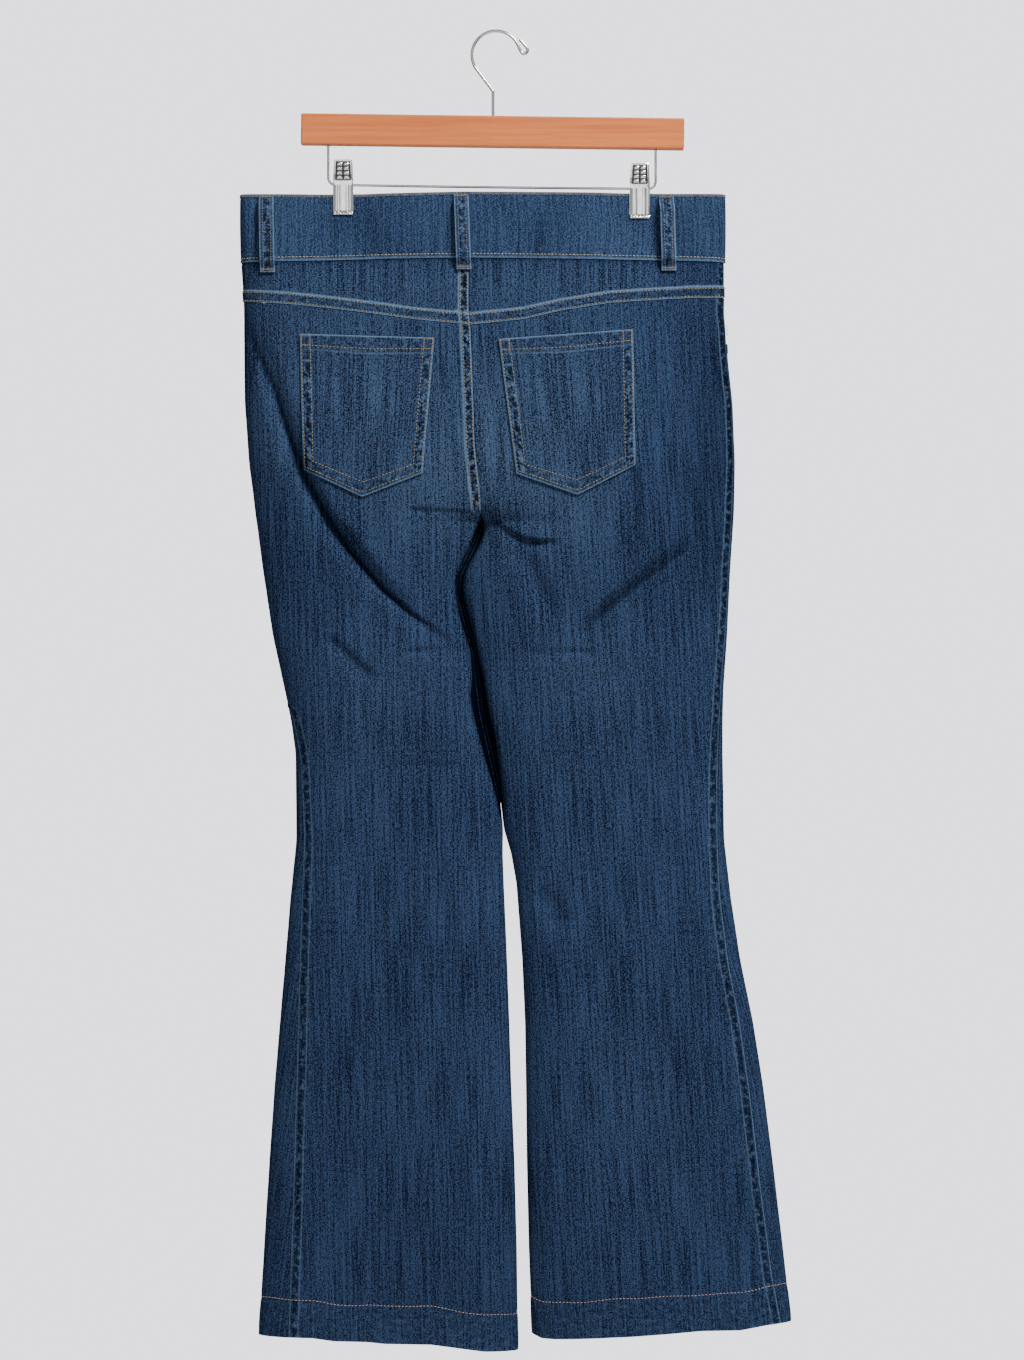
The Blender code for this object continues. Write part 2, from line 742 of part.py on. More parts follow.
def make_facing(side):
    """The denim that shows in a scooped front pocket, lying under the front panel."""
    half = HALVES[side]
    offsets = np.array(FRONT_FROM_SIDE + (SCOOP_WIDTH + FACING_UNDERLAP,))
    bottom = scoop_drop(offsets) + FACING_UNDERLAP
    high = WAIST_SEAM + SEAM_GAP / 2.0
    outer, inner = [], []
    for part in np.linspace(0.0, 1.0, FACING_ROWS):
        drops = high + (bottom - high) * part
        arcs = at_level(half["seam"], drops) + SIDE_GAP / 2.0 + offsets
        outer.append(on_surface(half, drops, arcs, np.full(len(arcs), FACING_LIFT)))
        inner.append(on_surface(half, drops, arcs, np.full(len(arcs), FACING_LIFT - PANEL_WALL)))
    return wall("front_pocket_facing_" + side, np.array(outer), np.array(inner), "denim_facing")


def make_waistband():
    """The waistband, one closed ring."""
    grids = []
    for drop in np.linspace(WAIST_TOP, WAIST_SEAM - SEAM_GAP / 2.0, BAND_ROWS):
        rows = []
        for side in ("left", "right"):
            half = HALVES[side]
            edge = at_level(half["edge"], drop)
            end = at_level(half["length"], drop)
            back = panel_arcs(0.0, edge, (0.0,), BAND_FROM_EDGE, BAND_MIDDLE)
            front = panel_arcs(edge, end, BAND_FROM_EDGE, (0.0,), BAND_MIDDLE)[1:]
            rows.append((half, np.concatenate([back, front])))
        grids.append((drop, rows))
    outer, inner = [], []
    for drop, rows in grids:
        for lift, grid in ((BAND_LIFT, outer), (BAND_LIFT - BAND_WALL, inner)):
            loop = []
            for (half, arcs), step in zip(rows, (1, -1)):
                ring = on_surface(half, np.full(len(arcs), drop), arcs, np.full(len(arcs), lift))
                loop.append(ring[::step][:-1])
            grid.append(np.concatenate(loop))
    return wall("waistband", np.array(outer), np.array(inner), "denim_band", ring=True)


def stand_of(tree, x, z):
    """How far out, towards the viewer, a made piece's surface stands at one place, in millimetres."""
    hit = tree.ray_cast((x * MM, -VIEWER * MM, z * MM), (0.0, 1.0, 0.0))[0]
    return -hit.y / MM


def lay_on(base, grid):
    """Stand of each point of a grid laid on a piece, lifted until no span cuts into it."""
    tree = BVHTree.FromObject(base, bpy.context.evaluated_depsgraph_get())
    stand = np.array([[stand_of(tree, x, z) for x, z in row] for row in grid]) + POCKET_GAP
    for _ in range(LAYING_PASSES):
        lift = np.zeros_like(stand)
        for row in range(len(grid) - 1):
            for col in range(len(grid[0]) - 1):
                patch = (slice(row, row + 2), slice(col, col + 2))
                short = 0.0
                for u in LAYING_PLACES:
                    for v in LAYING_PLACES:
                        share = np.outer((1 - v, v), (1 - u, u))
                        x, z = (grid[patch] * share[..., None]).sum(axis=(0, 1))
                        here = (stand[patch] * share).sum()
                        short = max(short, stand_of(tree, x, z) + LEAST_GAP - here)
                lift[patch] = np.maximum(lift[patch], short)
        stand += lift
    return stand


def make_pocket(name, side, middle, mouth_drop, turn):
    """A back pocket laid on its panel, with its mouth turned down to a hem."""
    angle = math.radians(turn)
    rows = (0.0, POCKET_HEM, POCKET_HEM + FELL_STEP) + POCKET_ROWS
    grid = []
    for down in rows:
        share = down / POCKET_SIDE
        width = POCKET_MOUTH + (POCKET_HEEL - POCKET_MOUTH) * share
        line = []
        for part in np.linspace(-0.5, 0.5, POCKET_COLUMNS):
            along = width * part
            low = down + POCKET_POINT * (1.0 - abs(part) * 2.0) * share
            x = middle + along * math.cos(angle) - low * math.sin(angle)
            drop = mouth_drop + along * math.sin(angle) + low * math.cos(angle)
            line.append((x, -drop))
        grid.append(line)
    grid = np.array(grid)
    stand = lay_on(bpy.data.objects["back_" + side], grid)
    thick = np.full_like(stand, PANEL_WALL)
    thick[:2] += FELL_RISE
    inner = np.stack([grid[..., 0], -stand, grid[..., 1]], axis=-1)
    outer = np.stack([grid[..., 0], -stand - thick, grid[..., 1]], axis=-1)
    return wall(name, outer, inner, "denim")


def make_loop(name, face, top_x, foot_x, top, foot, full_stand, foot_seam):
    """A belt loop: sewn flat at its ends and standing off the waistband between them."""
    length = foot - top
    outer, inner = [], []
    for share, height in LOOP_RISE:
        drop = top + length * share
        middle = top_x + (foot_x - top_x) * share
        seat = LOOP_SEAT + (foot_seam if share > 0.5 else 0.0)
        stand = BAND_LIFT + seat + (full_stand - seat) * height
        side = "left" if middle < read(CENTRE_SEAM, 1 if face == "back" else 2, drop) else "right"
        half = HALVES[side]
        centre_arc = arc_of(half, face, middle, drop)
        centre = on_surface(half, drop, centre_arc)
        straight = np.array((0.0, -1.0 if face == "back" else 1.0, 0.0))
        normal = on_surface(half, drop, centre_arc, 1.0) - centre
        normal = normal + (straight - normal) * height
        across = np.cross(normal, (0.0, 0.0, 1.0))
        across /= np.linalg.norm(across)
        reach = [centre + across * LOOP_WIDTH * part for part in (-0.5, 0.0, 0.5)]
        inner.append([point + normal * stand for point in reach])
        outer.append([point + normal * (stand + LOOP_WALL) for point in reach])
    return wall(name, np.array(outer), np.array(inner), "denim_band")


def add_curve(name, route, diameter, material):
    """A round wire along points in millimetres."""
    curve = bpy.data.curves.new(name, "CURVE")
    curve.dimensions = "3D"
    curve.bevel_depth = diameter / 2.0 * MM
    curve.bevel_resolution = 2
    curve.use_fill_caps = True
    spline = curve.splines.new("POLY")
    spline.points.add(len(route) - 1)
    for point, (x, y, z) in zip(spline.points, route):
        point.co = (x * MM, y * MM, z * MM, 1.0)
    curve.materials.append(finish(material))
    obj = bpy.data.objects.new(name, curve)
    PARTS.objects.link(obj)
    return obj


def arc_points(centre, radius, start, end, count):
    """Points of an arc in the XZ plane, angles in degrees."""
    angles = np.radians(np.linspace(start, end, count))
    return [(centre[0] + radius * math.cos(a), 0.0, centre[1] + radius * math.sin(a)) for a in angles]


def make_hook():
    """The hanger's hook: turned-back tip, round bend and stem, in one wire."""
    centre = (0.0, HOOK_WIRE / 2.0 - HOOK_BEND)
    bend = arc_points(centre, HOOK_BEND, HOOK_TURN[0], HOOK_TURN[1], 18)
    tip = [(x, 0.0, -drop) for x, drop in HOOK_TIP]
    bar_top = BAR_CENTRE[1] - BAR_SIZE[2] / 2.0
    stem = [(x, 0.0, -drop) for x, drop in HOOK_STEM]
    stem.append((stem[-1][0], 0.0, -(bar_top + HOOK_SEAT_DEPTH - WIRE_END_GAP)))
    return add_curve("hanger_hook", tip + bend + stem, HOOK_WIRE, "chrome")


def wire_route():
    """The clip wire's middle line: down one leg, across under the bar and up the other."""
    left, right = CLIP_WIRE_LEGS
    low_left, low_right = CLIP_WIRE_LOW
    bar_low = BAR_CENTRE[1] + BAR_SIZE[2] / 2.0
    tilt = math.tan(math.radians(BAR_TILT))
    top_left = bar_low + (left - BAR_CENTRE[0]) * tilt - WIRE_SEAT_DEPTH + WIRE_END_GAP
    top_right = bar_low + (right - BAR_CENTRE[0]) * tilt - WIRE_SEAT_DEPTH + WIRE_END_GAP
    reach = WIRE_CORNER
    corner_left = arc_points((left + reach, -low_left + reach), reach, 180, 270, 5)
    corner_right = arc_points((right - reach, -low_right + reach), reach, 270, 360, 5)
    return [(left, 0.0, -top_left)] + corner_left + corner_right + [(right, 0.0, -top_right)]


def drill(obj, x, drop_from, depth, diameter, down):
    """Cut a blind hole for a wire into the bar."""
    middle = drop_from + (depth - HOLE_OVERRUN) / 2.0 * (1 if down else -1)
    bpy.ops.mesh.primitive_cylinder_add(
        vertices=16,
        radius=(diameter / 2.0 + HOLE_PLAY) * MM,
        depth=(depth + HOLE_OVERRUN) * MM,
        location=(x * MM, 0.0, -middle * MM),
    )
    cutter = bpy.context.object
    cutter.name = "cutter_hole"
    for old in list(cutter.users_collection):
        old.objects.unlink(cutter)
    CUTTERS.objects.link(cutter)
    cutter.hide_render = True
    cutter.display_type = "WIRE"
    cut = obj.modifiers.new("hole", "BOOLEAN")
    cut.operation = "DIFFERENCE"
    cut.solver = "EXACT"
    cut.object = cutter


def make_bar():
    """The hanger's wooden bar, drilled for the hook and for the clip wire."""
    bpy.ops.mesh.primitive_cube_add(size=1.0)
    bar = bpy.context.object
    bar.name = "hanger_bar"
    bar.data.name = "hanger_bar"
    for old in list(bar.users_collection):
        old.objects.unlink(bar)
    PARTS.objects.link(bar)
    for vertex in bar.data.vertices:
        for axis in range(3):
            vertex.co[axis] *= BAR_SIZE[axis] * MM
    bar.location = (BAR_CENTRE[0] * MM, 0.0, -BAR_CENTRE[1] * MM)
    bar.rotation_euler = (0.0, math.radians(BAR_TILT), 0.0)
    bar.data.materials.append(finish("wood"))
    rounded = bar.modifiers.new("rounded edges", "BEVEL")
    rounded.width = BAR_EDGE * MM
    rounded.segments = 2
    top = BAR_CENTRE[1] - BAR_SIZE[2] / 2.0
    low = BAR_CENTRE[1] + BAR_SIZE[2] / 2.0
    drill(bar, HOOK_STEM[-1][0], top, HOOK_SEAT_DEPTH, HOOK_WIRE, True)
    tilt = math.tan(math.radians(BAR_TILT))
    for leg in CLIP_WIRE_LEGS:
        drill(bar, leg, low + (leg - BAR_CENTRE[0]) * tilt, WIRE_SEAT_DEPTH, CLIP_WIRE, False)
    return bar


def make_jaw(name, across, wire_drop, face):
    """One pressed-metal jaw: finger lever above the wire, clamping plate below it."""
    sign = -1.0 if face == "back" else 1.0
    outer, inner = [], []
    for below, out, half_width, flange in CLIP_PROFILE:
        section = (
            (-half_width, out - flange),
            (-half_width, out),
            (-half_width / 2.0, out + CLIP_CROWN),
            (half_width / 2.0, out + CLIP_CROWN),
            (half_width, out),
            (half_width, out - flange),
        )
        skin = [(across + x, sign * y, -(wire_drop + below)) for x, y in section]
        inset = 1.0 - CLIP_METAL / half_width
        core = [
            (across + x * inset, sign * (y - metal), -(wire_drop + below))
            for (x, y), metal in zip(section, (0.0,) + (CLIP_METAL,) * 4 + (0.0,))
        ]
        outer.append(skin)
        inner.append(core)
    return wall(name, np.array(outer), np.array(inner), "chrome")


def make_spring(name, across, wire_drop):
    """A clip's coiled spring, as the tube that its turns fill round the wire."""
    mesh = bpy.data.meshes.new(name)
    bore = (CLIP_WIRE / 2.0 + HOLE_PLAY) * MM
    out = SPRING_RADIUS * MM
    reach = SPRING_LENGTH / 2.0 * MM
    mesh.from_pydata(
        [(-reach, 0.0, bore), (reach, 0.0, bore), (reach, 0.0, out), (-reach, 0.0, out)],
        [(0, 1), (1, 2), (2, 3), (3, 0)],
        [],
    )
    mesh.materials.append(finish("chrome"))
    obj = bpy.data.objects.new(name, mesh)
    PARTS.objects.link(obj)
    obj.location = (across * MM, 0.0, -wire_drop * MM)
    turned = obj.modifiers.new("turned", "SCREW")
    turned.axis = "X"
    turned.steps = 14
    turned.render_steps = 14
    turned.use_merge_vertices = True
    turned.merge_threshold = 0.0001
    turned.use_normal_calculate = True
    turned.use_normal_flip = True
    return obj


def make_clip(name, across):
    """A sprung clip on the wire: two jaws and the spring between them."""
    ends = [leg + reach for leg, reach in zip(CLIP_WIRE_LEGS, (WIRE_CORNER, -WIRE_CORNER))]
    wire_drop = float(np.interp(across, ends, CLIP_WIRE_LOW))
    for face in ("back", "front"):
        make_jaw(name + "_jaw_" + face, across, wire_drop, face)
    make_spring(name + "_spring", across, wire_drop)


clear_scene()
PARTS = collection(COLLECTION)
CUTTERS = collection("cutters")
HALVES = {side: half_surface(side) for side in SIDES}

for each_side in SIDES:
    make_back_leg(each_side)
    make_front_leg(each_side)
    make_yoke(each_side)
    make_facing(each_side)
make_waistband()
for pocket in POCKETS:
    make_pocket(*pocket)
for belt_loop in LOOPS:
    make_loop(*belt_loop)
make_bar()
make_hook()
add_curve("clip_wire", wire_route(), CLIP_WIRE, "chrome")
for clip in CLIPS:
    make_clip(*clip)
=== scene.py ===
# %% [markdown]
# # Bootcut jeans hung from a clip hanger
#
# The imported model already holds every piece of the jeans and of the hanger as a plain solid.
# These cells give that model its looks. Each cloth piece gets a finer shell with creases, felled
# seams and sewing, and each metal piece a finer form. Lengths in the tables are millimetres, and
# MM turns them into Blender's metres when a mesh is made.

import math

import bpy
import numpy as np
from mathutils.bvhtree import BVHTree
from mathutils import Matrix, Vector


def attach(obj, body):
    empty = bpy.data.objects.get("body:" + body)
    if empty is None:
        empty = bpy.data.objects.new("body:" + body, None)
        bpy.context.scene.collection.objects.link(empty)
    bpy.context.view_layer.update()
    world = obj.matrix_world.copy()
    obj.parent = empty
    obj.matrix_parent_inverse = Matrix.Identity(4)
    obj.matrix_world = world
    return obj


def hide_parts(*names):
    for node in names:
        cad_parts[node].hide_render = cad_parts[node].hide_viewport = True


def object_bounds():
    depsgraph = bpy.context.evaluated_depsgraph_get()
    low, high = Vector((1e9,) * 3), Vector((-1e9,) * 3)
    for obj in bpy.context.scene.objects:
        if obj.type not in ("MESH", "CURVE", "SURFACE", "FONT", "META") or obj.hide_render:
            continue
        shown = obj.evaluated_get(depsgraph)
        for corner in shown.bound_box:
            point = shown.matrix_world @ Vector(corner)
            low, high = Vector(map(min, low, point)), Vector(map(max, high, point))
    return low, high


MM = 0.001
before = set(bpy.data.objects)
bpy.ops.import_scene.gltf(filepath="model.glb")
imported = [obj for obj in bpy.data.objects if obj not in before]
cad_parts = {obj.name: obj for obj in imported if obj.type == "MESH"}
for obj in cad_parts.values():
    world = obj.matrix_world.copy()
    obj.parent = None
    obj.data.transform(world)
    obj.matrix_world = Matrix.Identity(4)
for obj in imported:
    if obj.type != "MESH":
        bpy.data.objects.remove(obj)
cad_low, cad_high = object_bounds()


def add_object(name, data):
    """A new object in the scene."""
    obj = bpy.data.objects.new(name, data)
    bpy.context.scene.collection.objects.link(obj)
    return obj


def new_material(name):
    """A material, its tree and its Principled shader."""
    material = bpy.data.materials.new(name)
    material.use_nodes = True
    return material, material.node_tree, material.node_tree.nodes["Principled BSDF"]


print("packed nodes:", len(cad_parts))
print("packed box in mm:", [round((b - a) / MM) for a, b in zip(cad_low, cad_high)])

# %% [markdown]
# ## Camera
#
# The photograph looks straight at the back of the jeans. Its scale comes from the hanger, whose
# bar is 356 mm long, so one pixel is 0.925 mm. The hook's inside top is the origin, and its pixel
# tells how far the middle of the picture lies from it.

# %% Camera
PHOTO_SIZE = (1024, 1360)
MM_PER_PIXEL = 0.925
HOOK_PIXEL = (496, 29.5)
CLOTH_PLANE = -16.0
CAMERA_DISTANCE = 3400.0
SENSOR = 36.0


def add_camera():
    """A camera square on to the garment, framed as the photograph is."""
    across = (PHOTO_SIZE[0] / 2 - HOOK_PIXEL[0]) * MM_PER_PIXEL
    height = (HOOK_PIXEL[1] - PHOTO_SIZE[1] / 2) * MM_PER_PIXEL
    data = bpy.data.cameras.new("photo_camera")
    data.sensor_width = SENSOR
    data.lens = SENSOR * CAMERA_DISTANCE / (PHOTO_SIZE[1] * MM_PER_PIXEL)
    camera = add_object("photo_camera", data)
    camera.location = (across * MM, (CLOTH_PLANE - CAMERA_DISTANCE) * MM, height * MM)
    camera.rotation_euler = (math.pi / 2, 0.0, 0.0)
    bpy.context.scene.camera = camera
    print("camera at", [round(value, 3) for value in camera.location], "lens", round(data.lens, 1))


add_camera()

# %% [markdown]
# ## Light and floor
#
# Window light reaches the real garment from the upper right, and a pale room fills its shadows.
# A large lamp stands there, a weaker one on the left, and one behind for the views from that
# side. The floor lies far below, as under a wardrobe rail.

# %% Light and floor
FLOOR_DROP = 1800.0
FLOOR_REACH = 2400.0
FLOOR_SIDES = 64
FLOOR_COLOUR = (0.72, 0.72, 0.74)
FLOOR_ROUGHNESS = 0.8
WALL_COLOUR = (2.20, 2.19, 2.36)
ROOM_COLOUR = (0.38, 0.385, 0.41)
LAMPS = (
    # name, place, size, power in watts
    ("key_lamp", (1250.0, -1750.0, 1700.0), 800.0, 215.0),
    ("window_behind_the_camera", (-500.0, -4400.0, -300.0), 3000.0, 46.0),
    ("rear_lamp", (700.0, 2600.0, 700.0), 1900.0, 110.0),
)


def add_lamp(name, place, size, power):
    """A square soft lamp that faces the middle of the garment."""
    data = bpy.data.lights.new(name, "AREA")
    data.size = size * MM
    data.energy = power
    lamp = add_object(name, data)
    lamp.location = [value * MM for value in place]
    aim = (cad_low + cad_high) / 2 - lamp.location
    lamp.rotation_euler = aim.to_track_quat("-Z", "Y").to_euler()


def add_room():
    """A pale wall colour for the camera, and a dimmer room that lights the cloth."""
    world = bpy.data.worlds.new("pale_room")
    world.use_nodes = True
    tree = world.node_tree
    wall = tree.nodes["Background"]
    room = tree.nodes.new("ShaderNodeBackground")
    wall.inputs["Color"].default_value = (*WALL_COLOUR, 1.0)
    room.inputs["Color"].default_value = (*ROOM_COLOUR, 1.0)
    seen = tree.nodes.new("ShaderNodeLightPath")
    choice = tree.nodes.new("ShaderNodeMixShader")
    for index, source in enumerate((seen.outputs["Is Camera Ray"], room.outputs[0], wall.outputs[0])):
        tree.links.new(source, choice.inputs[index])
    tree.links.new(choice.outputs[0], tree.nodes["World Output"].inputs["Surface"])
    bpy.context.scene.world = world


def add_floor():
    """A pale round floor far below the garment."""
    mesh = bpy.data.meshes.new("floor")
    turns = np.linspace(0.0, 2.0 * math.pi, FLOOR_SIDES, endpoint=False)
    ring = [(FLOOR_REACH * MM * math.cos(a), FLOOR_REACH * MM * math.sin(a), 0.0) for a in turns]
    mesh.from_pydata(ring, [], [tuple(range(len(ring)))])
    floor = add_object("floor", mesh)
    floor.location.z = -FLOOR_DROP * MM
    paint, _, shader = new_material("floor_paint")
    shader.inputs["Base Color"].default_value = (*FLOOR_COLOUR, 1.0)
    shader.inputs["Roughness"].default_value = FLOOR_ROUGHNESS
    mesh.materials.append(paint)


for lamp_row in LAMPS:
    add_lamp(*lamp_row)
add_room()
add_floor()
print("lamps:", [row[0] for row in LAMPS])

# %% [markdown]
# ## The cut of the jeans
#
# A drop is how far a point hangs below the hook's seat, and an arc is a length along the cloth of
# one half of the garment: from the centre back seam, or the inseam, round the side and on to the
# front. Left and right are the viewer's, who looks at the back. The tables are the part's own.

# %% The outline and the depth of the garment
WAIST_TOP = 152.5
WAIST_SEAM = 213.5
YOKE_SEAM = 262.0
YOKE_FREE = 330.0
CROTCH = 455.0
CROTCH_ROUND = 36.0
HEM_FREE = 1060.0
HEM_FOLD = 1176.0
HEM_EDGE = 1210.0
SURFACE_TOP = 146.0
SURFACE_BOTTOM = 1228.0
EDGE_RADIUS = 6.5
EDGE_SHARE = 0.42

OUTLINE = (
    # drop, left, right
    (146, -237.6, 212.8),
    (215, -236.8, 212.6),
    (250, -234.6, 213.2),
    (305, -234.0, 215.5),
    (345, -233.6, 219.8),
    (400, -229.6, 222.0),
    (445, -224.0, 221.2),
    (500, -216.6, 217.6),
    (560, -207.6, 214.8),
    (610, -196.6, 211.4),
    (640, -190.4, 210.6),
    (670, -186.3, 210.6),
    (750, -185.6, 212.0),
    (805, -191.2, 218.4),
    (860, -195.8, 226.8),
    (920, -201.0, 239.0),
    (980, -206.0, 248.4),
    (1050, -210.8, 257.4),
    (1130, -215.8, 266.8),
    (1228, -221.6, 277.6),
)
INSEAM = (
    # drop, left leg, right leg
    (455, -12.9, -13.1),
    (466, -16.6, -16.8),
    (477, -20.6, -20.4),
    (491, -28.0, -27.8),
    (505, -34.6, -34.4),
    (519, -35.4, -35.2),
    (546, -28.8, -28.6),
    (575, -20.5, -20.3),
    (630, -14.4, -14.2),
    (685, -2.0, -1.8),
    (713, 3.9, 4.2),
    (740, 6.6, 7.2),
    (762, 6.2, 13.8),
    (790, 7.2, 18.8),
    (860, 10.2, 24.2),
    (920, 12.4, 26.9),
    (980, 14.2, 27.8),
    (1050, 17.2, 28.6),
    (1130, 19.3, 30.4),
    (1228, 20.5, 34.2),
)
CENTRE_SEAM = (
    # drop, back seam, front seam
    (146, -25.3, 5.6),
    (262, -25.2, 5.2),
    (275, -23.4, 4.4),
    (345, -20.6, 0.0),
    (385, -19.4, -3.5),
    (430, -14.4, -9.4),
    (455, -13.0, -13.0),
)
DEPTH = (
    # drop, back, front
    (146, 7.0, 7.0),
    (165, 7.6, 7.4),
    (215, 11.2, 10.6),
    (255, 17.5, 15.4),
    (300, 23.5, 19.0),
    (345, 26.5, 20.0),
    (400, 27.5, 20.0),
    (455, 24.5, 19.0),
    (520, 21.5, 18.0),
    (620, 19.0, 17.0),
    (700, 17.5, 16.0),
    (790, 16.5, 16.0),
    (900, 17.0, 16.5),
    (1050, 18.0, 17.5),
    (1228, 20.0, 19.5),
)
print("garment from", WAIST_TOP, "to", HEM_EDGE, "mm below the hook")

# %% The seam lines
SIDE_SEAM = (
    # drop, left, right: how far in from the outer edge, minus where it has gone round to the front
    (146, -39.0, 1.2),
    (260, -38.0, 1.6),
    (345, -36.5, 0.8),
    (440, -32.0, 1.8),
    (530, -22.0, 1.4),
    (634, 1.6, 2.6),
    (698, 5.6, 5.8),
    (752, 7.4, 6.7),
    (800, 10.6, 10.2),
    (865, 13.9, 12.0),
    (972, 20.4, 13.6),
    (1078, 24.6, 14.8),
    (1160, 27.0, 14.2),
    (1228, 28.8, 9.6),
)
YOKE_LINE = (
    # arc from the centre seam, left drop, right drop
    (0, 273.4, 273.4),
    (50, 268.6, 268.4),
    (85, 263.6, 260.4),
    (130, 258.0, 253.2),
    (165, 254.4, 250.8),
    (205, 251.4, 248.6),
    (245, 249.6, 247.2),
)
WAIST_LINE = (
    # across, drop of the band's top, drop of its lower edge
    (-237, 151.0, 214.9),
    (-179, 151.0, 213.4),
    (-120, 150.4, 211.8),
    (-85, 149.8, 211.2),
    (-31, 148.6, 210.6),
    (10, 148.8, 210.8),
    (98, 149.4, 211.8),
    (136, 149.8, 212.4),
    (172, 150.6, 213.4),
    (212, 151.0, 214.6),
)
HEM_LINE = (
    # across, drop
    (-222, 1209.4),
    (-200, 1209.8),
    (-170, 1210.0),
    (-150, 1212.8),
    (-118, 1213.6),
    (-104, 1215.2),
    (-60, 1216.0),
    (-40, 1218.6),
    (-10, 1223.0),
    (21, 1223.6),
    (33, 1207.8),
    (42, 1211.4),
    (52, 1211.8),
    (84, 1210.6),
    (125, 1208.8),
    (160, 1206.2),
    (190, 1203.4),
    (226, 1202.8),
    (250, 1198.8),
    (277, 1196.6),
)
THIGH_GAP = (
    # drop, left, right: how far each leg's back edge stands back from the inseam
    (448, 0.0, 0.0),
    (463, 4.1, 5.4),
    (491, 3.4, 4.4),
    (519, 2.6, 4.4),
    (546, 5.1, 5.2),
    (574, 3.6, 3.6),
    (602, 5.3, 6.6),
    (616, 8.8, 7.1),
    (630, 8.4, 8.0),
    (657, 7.8, 8.0),
    (685, 6.0, 5.6),
    (713, 3.4, 2.8),
    (745, 0.0, 0.0),
)
print("seam tables:", len(SIDE_SEAM) + len(YOKE_LINE) + len(WAIST_LINE) + len(HEM_LINE), "rows")
